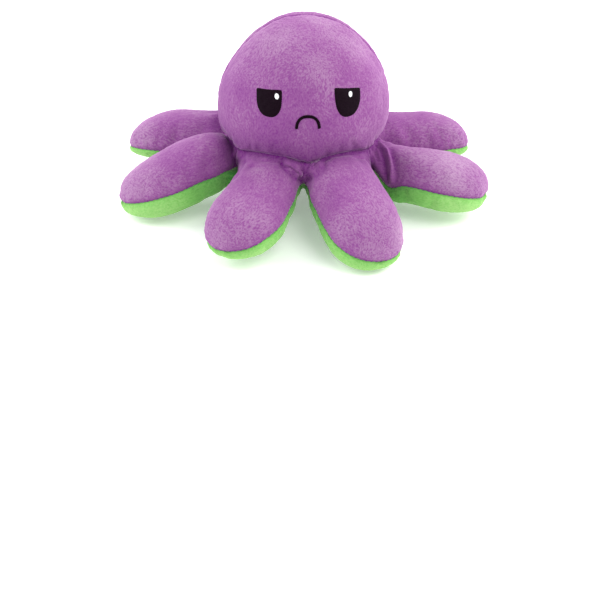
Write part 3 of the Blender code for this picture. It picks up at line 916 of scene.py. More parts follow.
            # Painted shade along the seam, with a broader faint band of it beside.
            crease = np.maximum(crease, seam.shade * bell(away, seam.shade_width))
            crease = np.maximum(crease, 0.4 * seam.shade * bell(away, 3.4 * seam.shade_width))
        for part, dome in (("head", self.trunk.head()), ("pocket", self.trunk.pocket())):
            away = self.trunk.from_seam(points, dome.centre)
            own = borders[part]
            move[own] -= (CROWN.depth * bell(away, CROWN.width))[own]
            beside = own & (away < 3.0 * CROWN.reach)
            ripple = CROWN.ripple * lumps(points[beside], CROWN.ripple_size, CROWN.seed)
            move[beside] += ripple * bell(away[beside], CROWN.reach)
            # Painted shade along the crown seam.
            crease[own] = np.maximum(crease, CROWN.shade * bell(away, CROWN.shade_width))[own]
        for dent in DENTS:
            move -= np.where(borders["head"], dent.depth_at(points, self.trunk.centre), 0.0)
        slack = borders["pocket"] & ~borders["mouth"]
        fall = ease((points[slack, 2] - self.trunk.mouth_height) / 8.0)
        move[slack] += fall * (self.sag + self.crumple * lumps(points[slack], 15.0, 83.0))
        _, from_edge = self.nearest_of(points, borders["edge"] & ~borders["web"])
        free = ease(from_edge / self.fold_fade) * ~borders["head"]
        for fold in PLEATS + GATHERS:
            raised, painted_shade = fold.shape(points)
            move += raised * free
            # Painted shade in the fold valleys.
            crease = np.maximum(crease, painted_shade * borders["top"])
        # Painted shade under the chin and at the legs' roots, painted light on the crown, the
        # lit side and the tips.
        crease += PaintedLightAndShade().shade(points, borders, self.trunk) * (1.0 - crease)
        points += normals * move[:, None]
        points[:, 2] = np.maximum(points[:, 2], self.lowest)
        put(mesh, self.spread_front(points, borders))
        # The depth attribute carries this painted shade and painted light to the pile's
        # material.
        store(mesh, "depth", crease)

    def spread_front(self, points: np.ndarray, borders: dict) -> np.ndarray:
        """Points of the skin with the front legs' roots spread towards the sides."""
        radius = np.hypot(points[:, 0], points[:, 1])
        azimuth = np.arctan2(points[:, 0], -points[:, 1])
        inner = borders["pocket"] | (borders["under"] & ~borders["top"])
        inwards = 2.0 * self.spread_inside - self.spread_start - radius
        away = np.where(inner & (radius < self.spread_inside), inwards,
                        np.maximum(radius - self.spread_start, 0.0))
        fade = np.exp(-away / self.spread_fade)
        above = np.maximum(points[:, 2] - self.trunk.neck(azimuth), 0.0)
        fade = np.where(borders["head"], fade * np.exp(-above / 4.0), fade)
        fade = np.where(azimuth > 0, fade ** 0.6, fade)
        turn = self.spread * fade * np.sign(azimuth)
        turn = turn * bell(np.abs(azimuth) - self.spread_middle, self.spread_width)
        height = points[:, 2]
        for middle, drop, outwards in SHOULDERS:
            share = bell(azimuth - math.radians(middle), self.shoulder_width)
            share = share * bell(radius - self.shoulder_radius, self.shoulder_reach)
            share = share * ~borders["head"]
            height = np.maximum(height - drop * share, np.minimum(height, 1.0))
            radius = radius + outwards * share
        return np.stack([radius * np.sin(azimuth + turn), -radius * np.cos(azimuth + turn),
                         height], axis=-1)

    def cut_out(self, item: bpy.types.Object, patch: int, name: str) -> bpy.types.Object:
        """Copy one patch of the skin as an open sheet of its own."""
        mesh = item.data.copy()
        mesh.name = name
        with edited(mesh) as builder:
            layer = builder.faces.layers.int["patch"]
            lost = [face for face in builder.faces if face[layer] != patch]
            bmesh.ops.delete(builder, geom=lost, context="FACES")
        return make_object(name, mesh)


@dataclass
class Wiring:
    """Short ways to add nodes to a tree."""

    tree: bpy.types.NodeTree

    def node(self, kind: str, **settings: object) -> bpy.types.Node:
        """Add a node and set its properties."""
        made = self.tree.nodes.new(kind)
        for key, value in settings.items():
            setattr(made, key, value)
        return made

    def join(self, start: bpy.types.NodeSocket, end: bpy.types.NodeSocket) -> None:
        """Link two sockets."""
        self.tree.links.new(start, end)

    def maths(self, operation: str, first: object, second: object = 0.0) -> bpy.types.NodeSocket:
        """Add a sum of two values or sockets."""
        made = self.node("ShaderNodeMath", operation=operation)
        for slot, value in zip(made.inputs, (first, second)):
            if isinstance(value, bpy.types.NodeSocket):
                self.join(value, slot)
            else:
                slot.default_value = value
        return made.outputs[0]

    def noise(self, vector: bpy.types.NodeSocket, scale: float, detail: float,
              stretch: tuple = (1.0, 1.0, 1.0)) -> bpy.types.NodeSocket:
        """Add a noise texture that reads a stretched vector, and give its value."""
        mapping = self.node("ShaderNodeMapping")
        mapping.inputs["Scale"].default_value = stretch
        self.join(vector, mapping.inputs["Vector"])
        texture = self.node("ShaderNodeTexNoise")
        texture.inputs["Scale"].default_value = scale
        texture.inputs["Detail"].default_value = detail
        self.join(mapping.outputs["Vector"], texture.inputs["Vector"])
        return texture.outputs["Fac"]

    def spread(self, value: bpy.types.NodeSocket, low: float, high: float, bottom: float,
               top: float) -> bpy.types.NodeSocket:
        """Map a value from one range to another."""
        made = self.node("ShaderNodeMapRange")
        for label, number in (("From Min", low), ("From Max", high), ("To Min", bottom),
                              ("To Max", top)):
            made.inputs[label].default_value = number
        self.join(value, made.inputs["Value"])
        return made.outputs["Result"]

    def blend(self, share: bpy.types.NodeSocket, first: bpy.types.NodeSocket,
              second: bpy.types.NodeSocket) -> bpy.types.NodeSocket:
        """Mix two colours by a share."""
        made = self.node("ShaderNodeMix", data_type="RGBA")
        self.join(share, made.inputs[0])
        self.join(first, made.inputs[6])
        self.join(second, made.inputs[7])
        return made.outputs[2]


def new_group(name: str, inputs: dict) -> tuple:
    """Shader node group with named inputs that puts out a colour, a roughness and a height.

    Args:
        name: what the group is called.
        inputs: kind of each input by its name.

    Returns:
        The group's wiring, its inputs and its outputs.
    """
    tree = bpy.data.node_groups.new(name, "ShaderNodeTree")
    for label, kind in inputs.items():
        tree.interface.new_socket(label, in_out="INPUT", socket_type="NodeSocket" + kind)
    for label, kind in (("Colour", "Color"), ("Roughness", "Float"), ("Height", "Float")):
        tree.interface.new_socket(label, in_out="OUTPUT", socket_type="NodeSocket" + kind)
    wires = Wiring(tree)
    source, target = wires.node("NodeGroupInput"), wires.node("NodeGroupOutput")
    return wires, source.outputs, target.inputs


@dataclass(frozen=True)
class Pile:
    """Pattern of short brushed pile: each noise's scale, detail and stretch, and its range."""

    patches: tuple = (0.06, 1.5)
    strokes: tuple = (0.95, 2.5, (1.0, 0.4, 1.0))
    tufts: tuple = (1.35, 3.0, (1.0, 0.65, 1.0))
    patch_range: tuple = (0.3, 0.7, -0.13, 0.25)
    stroke_range: tuple = (0.35, 0.6, -0.24, 0.07)
    tuft_range: tuple = (0.46, 0.70, 0.08, -0.50)
    roughness_range: tuple = (-0.8, 0.8, 0.98, 0.86)
    drift_scale: float = 0.05
    drift_reach: float = 8.0
    relief: float = 0.5

    def group(self) -> bpy.types.NodeTree:
        """Group that paints patches of turned nap, strokes along it and tufts between them, and
        darkens or pales the pile by the painted shade and painted light of the depth attribute.
        """
        wires, source, target = new_group(
            "brushed_pile", {"Nap": "Vector", "Depth": "Float", "Contrast": "Float",
                             "Deep": "Color", "Body": "Color", "Bloom": "Color"})
        patches = wires.noise(source["Nap"], *self.patches)
        drift = wires.node("ShaderNodeTexNoise")
        drift.inputs["Scale"].default_value = self.drift_scale
        drift.inputs["Detail"].default_value = 1.0
        wires.join(source["Nap"], drift.inputs["Vector"])
        brushed = wires.node("ShaderNodeVectorMath", operation="MULTIPLY_ADD")
        wires.join(drift.outputs["Color"], brushed.inputs[0])
        brushed.inputs[1].default_value = (self.drift_reach,) * 3
        wires.join(source["Nap"], brushed.inputs[2])
        strokes = wires.noise(brushed.outputs["Vector"], *self.strokes)
        tufts = wires.noise(brushed.outputs["Vector"], *self.tufts)
        total = wires.maths("ADD", wires.spread(patches, *self.patch_range),
                            wires.spread(strokes, *self.stroke_range))
        total = wires.maths("ADD", total, wires.spread(tufts, *self.tuft_range))
        total = wires.maths("MULTIPLY", total, source["Contrast"])
        # Painted shade pulls the pile towards its deep colour; painted light, below zero, pulls
        # it towards its bloom.
        total = wires.maths("SUBTRACT", total, source["Depth"])
        bloom_share = wires.maths("MAXIMUM", total, 0.0)
        deep_share = wires.maths("MAXIMUM", wires.maths("MULTIPLY", total, -1.0), 0.0)
        pale = wires.blend(bloom_share, source["Body"], source["Bloom"])
        wires.join(wires.blend(deep_share, pale, source["Deep"]), target["Colour"])
        wires.join(wires.spread(total, *self.roughness_range), target["Roughness"])
        relief = wires.maths("SUBTRACT", wires.maths("MULTIPLY", strokes, self.relief),
                             wires.maths("MULTIPLY", tufts, self.relief))
        wires.join(relief, target["Height"])
        return wires.tree


@dataclass(frozen=True)
class Satin:
    """Pattern of satin stitches: bands across the thread, and flecks where it catches light."""

    bands: float = 0.8
    unevenness: float = 1.2
    detail_scale: float = 1.5
    flecks: tuple = (1.6, 2.0, (0.5, 2.0, 1.0))
    fleck_range: tuple = (0.3, 0.75, 0.2, 1.0)
    roughness_range: tuple = (0.3, 0.7, 0.42, 0.62)

    def group(self) -> bpy.types.NodeTree:
        """Group that paints rows of stitches from across-and-along coordinates."""
        wires, source, target = new_group(
            "satin_rows", {"Place": "Vector", "Dark": "Color", "Light": "Color"})
        wave = wires.node("ShaderNodeTexWave", wave_type="BANDS", bands_direction="Y")
        wave.inputs["Scale"].default_value = self.bands
        wave.inputs["Distortion"].default_value = self.unevenness
        wave.inputs["Detail"].default_value = 1.0
        wave.inputs["Detail Scale"].default_value = self.detail_scale
        wires.join(source["Place"], wave.inputs["Vector"])
        flecks = wires.noise(source["Place"], *self.flecks)
        share = wires.maths("MULTIPLY", wave.outputs["Fac"],
                            wires.spread(flecks, *self.fleck_range))
        wires.join(wires.blend(share, source["Dark"], source["Light"]), target["Colour"])
        wires.join(wires.spread(flecks, *self.roughness_range), target["Roughness"])
        wires.join(wave.outputs["Fac"], target["Height"])
        return wires.tree


@dataclass(frozen=True)
class Finish:
    """A cloth or thread finish: linear colours, sheen and bump.

    Cloth has all three colours, whose deep and bloom also carry painted shade and painted light,
    and thread has the body and the bloom of its lit side.
    """

    slot: Slot
    body: tuple
    bloom: tuple
    deep: tuple = (0.0, 0.0, 0.0)
    tint: tuple = (0.5, 0.5, 0.5)
    contrast: float = 1.0
    sheen: float = 0.0
    gloss: float = 0.06
    sheen_roughness: float = 0.4
    bump: float = 0.3
    bump_distance: float = 0.4

    def shell(self, group: bpy.types.NodeTree, ending: str, place: str,
              **colours: tuple) -> tuple:
        """Material whose shader reads one of the groups.

        Args:
            group: the group that paints it.
            ending: end of the material's name.
            place: the group's input that takes the piece's nap coordinates.
            **colours: the group's colours by the name of their input.

        Returns:
            The material, its wiring and the node of the group.
        """
        material = bpy.data.materials.new(self.slot.value + ending)
        material.use_nodes = True
        material.diffuse_color = (*self.body, 1.0)
        wires = Wiring(material.node_tree)
        shader = material.node_tree.nodes["Principled BSDF"]
        shader.inputs["Specular IOR Level"].default_value = self.gloss
        shader.inputs["Sheen Weight"].default_value = self.sheen
        shader.inputs["Sheen Roughness"].default_value = self.sheen_roughness
        shader.inputs["Sheen Tint"].default_value = (*self.tint, 1.0)
        looks = wires.node("ShaderNodeGroup", node_tree=group)
        nap = wires.node("ShaderNodeAttribute", attribute_name="nap")
        wires.join(nap.outputs["Vector"], looks.inputs[place])
        for label, colour in colours.items():
            looks.inputs[label].default_value = (*colour, 1.0)
        relief = wires.node("ShaderNodeBump")
        relief.inputs["Strength"].default_value = self.bump
        relief.inputs["Distance"].default_value = self.bump_distance * MM
        wires.join(looks.outputs["Colour"], shader.inputs["Base Color"])
        wires.join(looks.outputs["Roughness"], shader.inputs["Roughness"])
        wires.join(looks.outputs["Height"], relief.inputs["Height"])
        wires.join(relief.outputs["Normal"], shader.inputs["Normal"])
        return material, wires, looks

    def pile(self, group: bpy.types.NodeTree) -> bpy.types.Material:
        """Plush cloth, read along the piece's own nap, with painted shade and painted light from
        the depth attribute.
        """
        material, wires, looks = self.shell(
            group, "_pile", "Nap", Deep=self.deep, Body=self.body, Bloom=self.bloom)
        # The depth attribute holds the painted shade and painted light.
        depth = wires.node("ShaderNodeAttribute", attribute_name="depth")
        wires.join(depth.outputs["Fac"], looks.inputs["Depth"])
        looks.inputs["Contrast"].default_value = self.contrast
        return material

    def stitched(self, group: bpy.types.NodeTree) -> bpy.types.Material:
        """Satin-stitched thread."""
        return self.shell(group, "_stitches", "Place", Dark=self.body, Light=self.bloom)[0]


FINISHES = (
    Finish(Slot.PURPLE, (0.230, 0.076, 0.232), (0.430, 0.298, 0.410), (0.125, 0.003, 0.158),
           tint=(0.62, 0.40, 0.60), contrast=0.74, sheen=0.6, sheen_roughness=0.45, bump=0.55),
    Finish(Slot.GREEN, (0.168, 0.425, 0.096), (0.430, 0.650, 0.260), (0.016, 0.160, 0.026),
           tint=(0.50, 0.70, 0.35), contrast=0.48, sheen=0.5, sheen_roughness=0.45, bump=0.5),
    Finish(Slot.BLACK, (0.004, 0.001, 0.003), (0.015, 0.006, 0.013), gloss=0.03, bump=0.5,
           bump_distance=0.15),
    Finish(Slot.WHITE, (0.80, 0.79, 0.82), (0.92, 0.92, 0.93), sheen=0.1, bump=0.4,
           bump_distance=0.12),
    Finish(Slot.PURPLE_THREAD, (0.150, 0.020, 0.190), (0.20, 0.05, 0.24), sheen=0.2, bump=0.4,
           bump_distance=0.12),
    Finish(Slot.GREEN_THREAD, (0.040, 0.20, 0.035), (0.10, 0.38, 0.08), sheen=0.2, bump=0.4,
           bump_distance=0.12),
)


@dataclass
class Wardrobe:
    """All materials, made once and handed out by slot."""

    materials: dict = field(default_factory=dict)

    def __post_init__(self) -> None:
        """Make each material from its finish."""
        pile, satin = Pile().group(), Satin().group()
        for finish in FINISHES:
            if finish.slot in (Slot.PURPLE, Slot.GREEN):
                self.materials[finish.slot] = finish.pile(pile)
            else:
                self.materials[finish.slot] = finish.stitched(satin)

    def dress(self, item: bpy.types.Object, slot: Slot) -> None:
        """Give a piece its finish as its only material."""
        item.data.materials.clear()
        item.data.materials.append(self.materials[slot])


def thickened(item: bpy.types.Object, thickness: float) -> None:
    """Give an open sheet its thickness in millimetres inwards, and apply it."""
    solidify = item.modifiers.new("cloth", "SOLIDIFY")
    solidify.thickness = thickness * MM
    solidify.offset = -1.0
    settled(item)
    smooth_shaded(item.data)


@dataclass
class Leg:
    """Purple top and green underside of one leg."""

    plan: LegPlan
    number: int
    cloth: float = 1.2
    blend_start: float = 43.0
    blend_end: float = 63.0

    @property
    def patches(self) -> tuple:
        """Numbers of the leg's two patches in the skin."""
        return (2 * self.number + Layer.TOP.value, 2 * self.number + Layer.UNDER.value)

    def nap(self, points: np.ndarray) -> np.ndarray:
        """Nap coordinates: across the leg, along it and upwards, apart from other legs'."""
        own = self.plan.local(points)
        return np.stack([own[:, 1], own[:, 0], own[:, 2] + 80.0 * self.number], axis=-1)

    def bend(self, item: bpy.types.Object) -> None:
        """Bake the piece's transform into its mesh."""
        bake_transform(item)

    def make(self, skin: Skin, whole: bpy.types.Object, wardrobe: Wardrobe) -> None:
        """Cut both cloths of the leg from the skin and finish them."""
        stuffing = self.plan.name + "_leg_stuffing"
        for layer, slot, name, nodes in (
                (Layer.TOP, Slot.PURPLE, "_purple_top",
                 (self.plan.name + "_leg_cover", stuffing, "ring_cover")),
                (Layer.UNDER, Slot.GREEN, "_green_underside",
                 (self.plan.name + "_leg_lining", "ring_lining", "ring_stuffing"))):
            item = skin.cut_out(whole, 2 * self.number + layer.value, self.plan.name + name)
            store(item.data, "nap", self.nap(places(item.data)))
            thickened(item, self.cloth)
            wardrobe.dress(item, slot)
            self.bend(item)
            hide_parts(*nodes)
            log.info("%s: %d faces", item.name, len(item.data.polygons))


@dataclass
class Stage:
    """Floor, lights and camera."""

    distance: float = 0.75
    elevation: float = math.radians(28.0)
    focal: float = 81.7
    down: float = 110.5
    right: float = 3.6
    picture: float = 600.0
    sensor: float = 36.0

    def camera(self) -> None:
        """Camera at the photograph's place, aimed below the toy so that it stands high."""
        data = bpy.data.cameras.new("camera")
        data.lens = self.focal
        data.sensor_width = self.sensor
        camera = make_object("camera", data)
        camera.location = (0.0, -self.distance * math.cos(self.elevation),
                           self.distance * math.sin(self.elevation))
        pixels = self.focal / self.sensor * self.picture
        pitch = math.pi / 2 - self.elevation - math.atan(self.down / pixels)
        camera.rotation_euler = (pitch, 0.0, math.atan(self.right / pixels))
        data.clip_start, data.clip_end = 0.01, 20.0
        bpy.context.scene.camera = camera

    def lamp(self, name: str, place: tuple, size: float, power: float, colour: tuple) -> None:
        """Soft square lamp that points at the toy."""
        data = bpy.data.lights.new(name, "AREA")
        data.size = size
        data.energy = power
        data.color = colour
        lamp = make_object(name, data)
        lamp.location = place
        aim = Vector((0.0, 0.0, 0.04)) - Vector(place)
        lamp.rotation_euler = aim.to_track_quat("-Z", "Y").to_euler()

    def build(self) -> None:
        """Make the floor, the light and the camera."""
        scene = bpy.context.scene
        scene.view_settings.view_transform = "Standard"
        world = bpy.data.worlds.new("studio")
        world.use_nodes = True
        back = world.node_tree.nodes["Background"]
        back.inputs["Color"].default_value = (0.95, 0.96, 1.0, 1.0)
        back.inputs["Strength"].default_value = 0.74
        scene.world = world
        corners = np.array([[-9e3, -9e3, 0], [9e3, -9e3, 0], [9e3, 9e3, 0], [-9e3, 9e3, 0]])
        floor = make_object("floor", mesh_of("floor", corners, [(0, 1, 2, 3)]))
        paper = bpy.data.materials.new("paper")
        paper.use_nodes = True
        shader = paper.node_tree.nodes["Principled BSDF"]
        shader.inputs["Base Color"].default_value = (0.93, 0.93, 0.93, 1.0)
        shader.inputs["Roughness"].default_value = 0.9
        shader.inputs["Emission Color"].default_value = (1.0, 1.0, 1.0, 1.0)
        shader.inputs["Emission Strength"].default_value = 0.26
        floor.data.materials.append(paper)
        self.lamp("key", (0.45, -0.5, 0.95), 0.7, 6.2, (1.0, 0.99, 0.97))
        self.lamp("left", (-0.9, 0.0, 0.6), 0.7, 8.2, (0.98, 0.98, 1.0))
        self.lamp("right", (0.9, 0.15, 0.6), 0.6, 6.6, (1.0, 0.99, 0.98))
        self.lamp("rim", (0.2, 0.8, 0.8), 0.9, 8.0, (1.0, 1.0, 1.0))
        self.camera()


@dataclass
class Bag:
    """Front and back panels of the head or the pocket, parted along the crown seam."""

    trunk: Trunk
    dome: Dome
    patch: int
    slot: Slot
    panels: dict
    cloth: float = 1.2

    def nap(self, points: np.ndarray) -> np.ndarray:
        """Nap coordinates: round the bag, up it and from front to back."""
        return points[:, [0, 2, 1]] + np.array([0.0, 0.0, 4.0 * self.patch])

    def make(self, skin: Skin, whole: bpy.types.Object, wardrobe: Wardrobe) -> None:
        """Cut the bag from the skin, and part it along the crown seam."""
        normal = Vector(self.trunk.seam_normal())
        for name, (side, nodes) in self.panels.items():
            item = skin.cut_out(whole, self.patch, name)
            with edited(item.data) as builder:
                everything = [*builder.verts, *builder.edges, *builder.faces]
                bmesh.ops.bisect_plane(builder, geom=everything, dist=0.01 * MM,
                                       plane_co=(0.0, 0.0, self.dome.centre * MM),
                                       plane_no=normal * side, clear_inner=True)
            store(item.data, "nap", self.nap(places(item.data)))
            thickened(item, self.cloth)
            wardrobe.dress(item, self.slot)
            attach(item, HEAD_BODY)
            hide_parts(*nodes)
            log.info("%s: %d faces", item.name, len(item.data.polygons))


HEAD_PANELS = {"head_front_cloth": (1, ("head_front", "head_stuffing")),
               "head_back_cloth": (-1, ("head_back",))}
POCKET_PANELS = {"pocket_front_cloth": (1, ("pocket_front",)),
                 "pocket_back_cloth": (-1, ("pocket_back",))}


@dataclass
class Drape:
    """Finds places on the finished skin, to lay embroidery and stitches on it."""

    whole: bpy.types.Object
    trunk: Trunk

    def __post_init__(self) -> None:
        """Build the search tree over the skin, and list the edges where two cloths meet."""
        builder = bmesh.new()
        builder.from_mesh(self.whole.data)
        self.tree = BVHTree.FromBMesh(builder)
        layer = builder.faces.layers.int["patch"]
        self.joints = {}
        for edge in builder.edges:
            pair = tuple(sorted(face[layer] for face in edge.link_faces))
            if len(pair) == 2 and pair[0] != pair[1]:
                ends = (edge.verts[0].index, edge.verts[1].index)
                self.joints.setdefault(pair, []).append(ends)
        builder.free()
        self.points = places(self.whole.data)
        self.facing = directions(self.whole.data)

    def seam(self, chosen: Callable) -> tuple:
        """Places and facings along the seam between the pairs of patches that are chosen."""
        near = {}
        for pair, edges in self.joints.items():
            if chosen(*pair):
                for first, second in edges:
                    near.setdefault(first, []).append(second)
                    near.setdefault(second, []).append(first)
        ends = [index for index, around in near.items() if len(around) == 1]
        chain = [min(ends) if ends else min(near)]
        seen = set(chain)
        while True:
            onward = [index for index in near[chain[-1]] if index not in seen]
            if not onward:
                break
            chain.append(onward[0])
            seen.add(onward[0])
        return self.points[chain], self.facing[chain]

    def on_bag(self, dome: Dome, across: float, height: float, outside: bool) -> tuple:
        """Place and outward direction on a bag.

        Args:
            dome: the bag.
            across: distance round the bag from the middle of the face, in millimetres.
            height: height in millimetres.
            outside: True for the head's outside, False for the hollow side of the pocket.

        Returns:
            The place in millimetres and the direction that the cloth faces there.
        """
        level = (height - dome.centre) / dome.half_height
        radius = dome.radius * math.sqrt(max(0.05, 1.0 - level * level))
        turn = self.trunk.face_turn + across / radius
        out = Vector((math.sin(turn), -math.cos(turn), 0.0))
        axis = Vector((0.0, 0.0, height * MM))
        start, way = (axis + out * 0.2, -out) if outside else (axis, out)
        hit, _, _, _ = self.tree.ray_cast(start, way)
        slope = Vector((out.x / dome.radius, out.y / dome.radius, level / dome.half_height))
        facing = slope.normalized() * (1.0 if outside else -1.0)
        return np.array(hit) / MM, np.array(facing)


class Outline(Enum):
    """Shapes of embroidered patches."""

    LIDDED = "lidded"
    OVAL = "oval"


@dataclass(frozen=True)
class Embroidery:
    """Satin-stitched patch on a face, in millimetres."""

    name: str
    node: str
    slot: Slot
    across: float
    height: float
    half_width: float
    half_height: float
    outline: Outline = Outline.OVAL
    tilt: float = 0.0
    taper: float = 0.045
    lift: float = 0.5
    rings: int = 26
    spokes: int = 96

    def loop(self) -> np.ndarray:
        """Points of the patch's edge at equal steps, about its middle."""
        angle = np.linspace(0.0, 2.0 * math.pi, 3601)
        cos, sin = np.cos(angle), np.sin(angle)
        if self.outline is Outline.OVAL:
            x, y = self.half_width * cos, self.half_height * sin
        else:
            power = np.where(sin > 0, 1.0 / 14.0, 1.0 / 2.45)
            x = self.half_width * np.sign(cos) * np.abs(cos) ** (2.0 * power)
            rise = np.where(sin > 0, 0.55, 1.45) * self.half_height
            y = rise * np.sign(sin) * np.abs(sin) ** (2.0 * power) + 0.45 * self.half_height
            upper = np.clip((y + self.half_height) / (2.0 * self.half_height), 0.0, 1.0)
            y = y + self.tilt * x * upper
            x = x * (1.0 - self.taper * (1.0 - upper))
        walked = np.concatenate([[0.0], np.cumsum(np.hypot(np.diff(x), np.diff(y)))])
        wanted = np.linspace(0.0, walked[-1], self.spokes, endpoint=False)
        fuzz = 0.06 * np.sin(wanted * 9.7 + self.across) + 0.04 * np.sin(wanted * 23.0)
        size = 1.0 + fuzz / self.half_width
        return np.stack([np.interp(wanted, walked, x) * size,
                         np.interp(wanted, walked, y) * size], axis=-1)

    def make(self, drape: Drape, dome: Dome, outside: bool, wardrobe: Wardrobe) -> None:
        """Lay the patch on its bag as a closed piece with a crowned top."""
        points, nap, faces = [], [], []
        loop = self.loop()
        for ring in range(self.rings + 2):
            share = min(1.0, ring / self.rings)
            crown = self.lift * (1.0 - share ** 5) ** 0.5 + 0.08
            rise = crown if ring <= self.rings else -0.7
            for spoke in range(self.spokes):
                across, up = loop[spoke]
                place, facing = drape.on_bag(dome, self.across + across * share,
                                             self.height + up * share, outside)
                row = 0.05 * math.sin(2.0 * math.pi * (up * share) / 0.62)
                points.append(place + facing * (rise + (row if share < 0.97 else 0.0)))
                nap.append((across * share, up * share, 0.0))
        for ring in range(self.rings + 1):
            for spoke in range(self.spokes):
                here, there = ring * self.spokes, (ring + 1) * self.spokes
                after = (spoke + 1) % self.spokes
                faces.append((here + spoke, here + after, there + after, there + spoke))
        last = (self.rings + 1) * self.spokes
        faces.append(tuple(range(last, last + self.spokes)))
        mesh = mesh_of(self.name, np.array(points), faces)
        store(mesh, "nap", np.array(nap))
        weld(mesh, 0.002)
        smooth_shaded(mesh)
        item = make_object(self.name, mesh)
        wardrobe.dress(item, self.slot)
        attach(item, HEAD_BODY)
        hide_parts(self.node)


FROWN = (
    Embroidery("frown_left_eye_satin", "frown_left_eye", Slot.BLACK, -20.0, 68.9, 7.2, 6.2,
               Outline.LIDDED, tilt=0.085, spokes=120),
    Embroidery("frown_right_eye_satin", "frown_right_eye", Slot.BLACK, 21.6, 68.2, 8.0, 6.5,
               Outline.LIDDED, tilt=-0.19, taper=0.12, spokes=120),
    Embroidery("frown_left_highlight_satin", "frown_left_highlight", Slot.WHITE, -15.4, 72.7,
               1.2, 1.4, lift=0.95, rings=8, spokes=32),
    Embroidery("frown_right_highlight_satin", "frown_right_highlight", Slot.WHITE, 22.5, 71.9,
               1.2, 1.4, lift=0.95, rings=8, spokes=32),
)
SMILE = (
    Embroidery("smile_left_eye_satin", "smile_left_eye", Slot.BLACK, -12.5, 45.8, 6.5, 7.2),
    Embroidery("smile_right_eye_satin", "smile_right_eye", Slot.BLACK, 12.5, 45.8, 6.5, 7.2),
    Embroidery("smile_left_highlight_satin", "smile_left_highlight", Slot.WHITE, -12.0, 49.2,
               1.4, 1.7, lift=0.95, rings=8, spokes=32),
    Embroidery("smile_right_highlight_satin", "smile_right_highlight", Slot.WHITE, 13.0, 49.2,
               1.4, 1.7, lift=0.95, rings=8, spokes=32),
)


def stitches_along_seam() -> bpy.types.NodeTree:
    """Geometry Nodes tree that lays round stitches along a path on the skin.

    Its points carry the direction that the cloth faces as an attribute named up.
    """
    tree = bpy.data.node_groups.new("stitches_along_seam", "GeometryNodeTree")
    for label, kind in (("Path", "NodeSocketGeometry"), ("Spacing", "NodeSocketFloat"),
                        ("Along", "NodeSocketFloat"), ("Across", "NodeSocketFloat"),
                        ("Thickness", "NodeSocketFloat"), ("Slant", "NodeSocketFloat"),
                        ("Sway", "NodeSocketFloat"), ("Seed", "NodeSocketInt"),
                        ("Thread", "NodeSocketMaterial")):
        tree.interface.new_socket(label, in_out="INPUT", socket_type=kind)
    tree.interface.new_socket("Stitches", in_out="OUTPUT", socket_type="NodeSocketGeometry")
    wires = Wiring(tree)
    source = wires.node("NodeGroupInput").outputs
    target = wires.node("NodeGroupOutput").inputs
    curve = wires.node("GeometryNodeMeshToCurve")
    wires.join(source["Path"], curve.inputs["Mesh"])
    steps = wires.node("GeometryNodeResampleCurve", mode="LENGTH")
    wires.join(curve.outputs["Curve"], steps.inputs["Curve"])
    wires.join(source["Spacing"], steps.inputs["Length"])
    ball = wires.node("GeometryNodeMeshUVSphere")
    ball.inputs["Segments"].default_value = 8
    ball.inputs["Rings"].default_value = 6
    ball.inputs["Radius"].default_value = 0.5
    grain = wires.node("GeometryNodeStoreNamedAttribute", data_type="FLOAT_VECTOR",
                       domain="POINT")
    grain.inputs["Name"].default_value = "nap"
    larger = wires.node("ShaderNodeVectorMath", operation="SCALE")
    larger.inputs["Scale"].default_value = 2.0
    position = wires.node("GeometryNodeInputPosition")
    wires.join(position.outputs["Position"], larger.inputs[0])
    wires.join(ball.outputs["Mesh"], grain.inputs["Geometry"])
    wires.join(larger.outputs["Vector"], grain.inputs["Value"])
    tangent = wires.node("GeometryNodeInputTangent")
    up = wires.node("GeometryNodeInputNamedAttribute", data_type="FLOAT_VECTOR")
    up.inputs["Name"].default_value = "up"
    along = wires.node("FunctionNodeAlignRotationToVector", axis="X")
    wires.join(tangent.outputs["Tangent"], along.inputs["Vector"])
    upright = wires.node("FunctionNodeAlignRotationToVector", axis="Z", pivot_axis="X")
    wires.join(along.outputs["Rotation"], upright.inputs["Rotation"])
    wires.join(up.outputs["Attribute"], upright.inputs["Vector"])
    chance = wires.node("FunctionNodeRandomValue", data_type="FLOAT")
    wires.join(wires.maths("MULTIPLY", source["Sway"], -1.0), chance.inputs[2])
    wires.join(source["Sway"], chance.inputs[3])
    wires.join(source["Seed"], chance.inputs["Seed"])
    turn = wires.node("ShaderNodeCombineXYZ")
    wires.join(wires.maths("ADD", chance.outputs[1], source["Slant"]), turn.inputs["Z"])
    swing = wires.node("FunctionNodeRotateRotation", rotation_space="LOCAL")
    wires.join(upright.outputs["Rotation"], swing.inputs["Rotation"])
    wires.join(turn.outputs["Vector"], swing.inputs["Rotate By"])
    size = wires.node("ShaderNodeCombineXYZ")
    for label, axis in (("Along", "X"), ("Across", "Y"), ("Thickness", "Z")):
        wires.join(source[label], size.inputs[axis])
    copies = wires.node("GeometryNodeInstanceOnPoints")
    wires.join(steps.outputs["Curve"], copies.inputs["Points"])
    wires.join(grain.outputs["Geometry"], copies.inputs["Instance"])
    wires.join(swing.outputs["Rotation"], copies.inputs["Rotation"])
    wires.join(size.outputs["Vector"], copies.inputs["Scale"])
    real = wires.node("GeometryNodeRealizeInstances")
    wires.join(copies.outputs["Instances"], real.inputs["Geometry"])
    painted = wires.node("GeometryNodeSetMaterial")
    wires.join(real.outputs["Geometry"], painted.inputs["Geometry"])
    wires.join(source["Thread"], painted.inputs["Material"])
    wires.join(painted.outputs["Geometry"], target["Stitches"])
    return tree


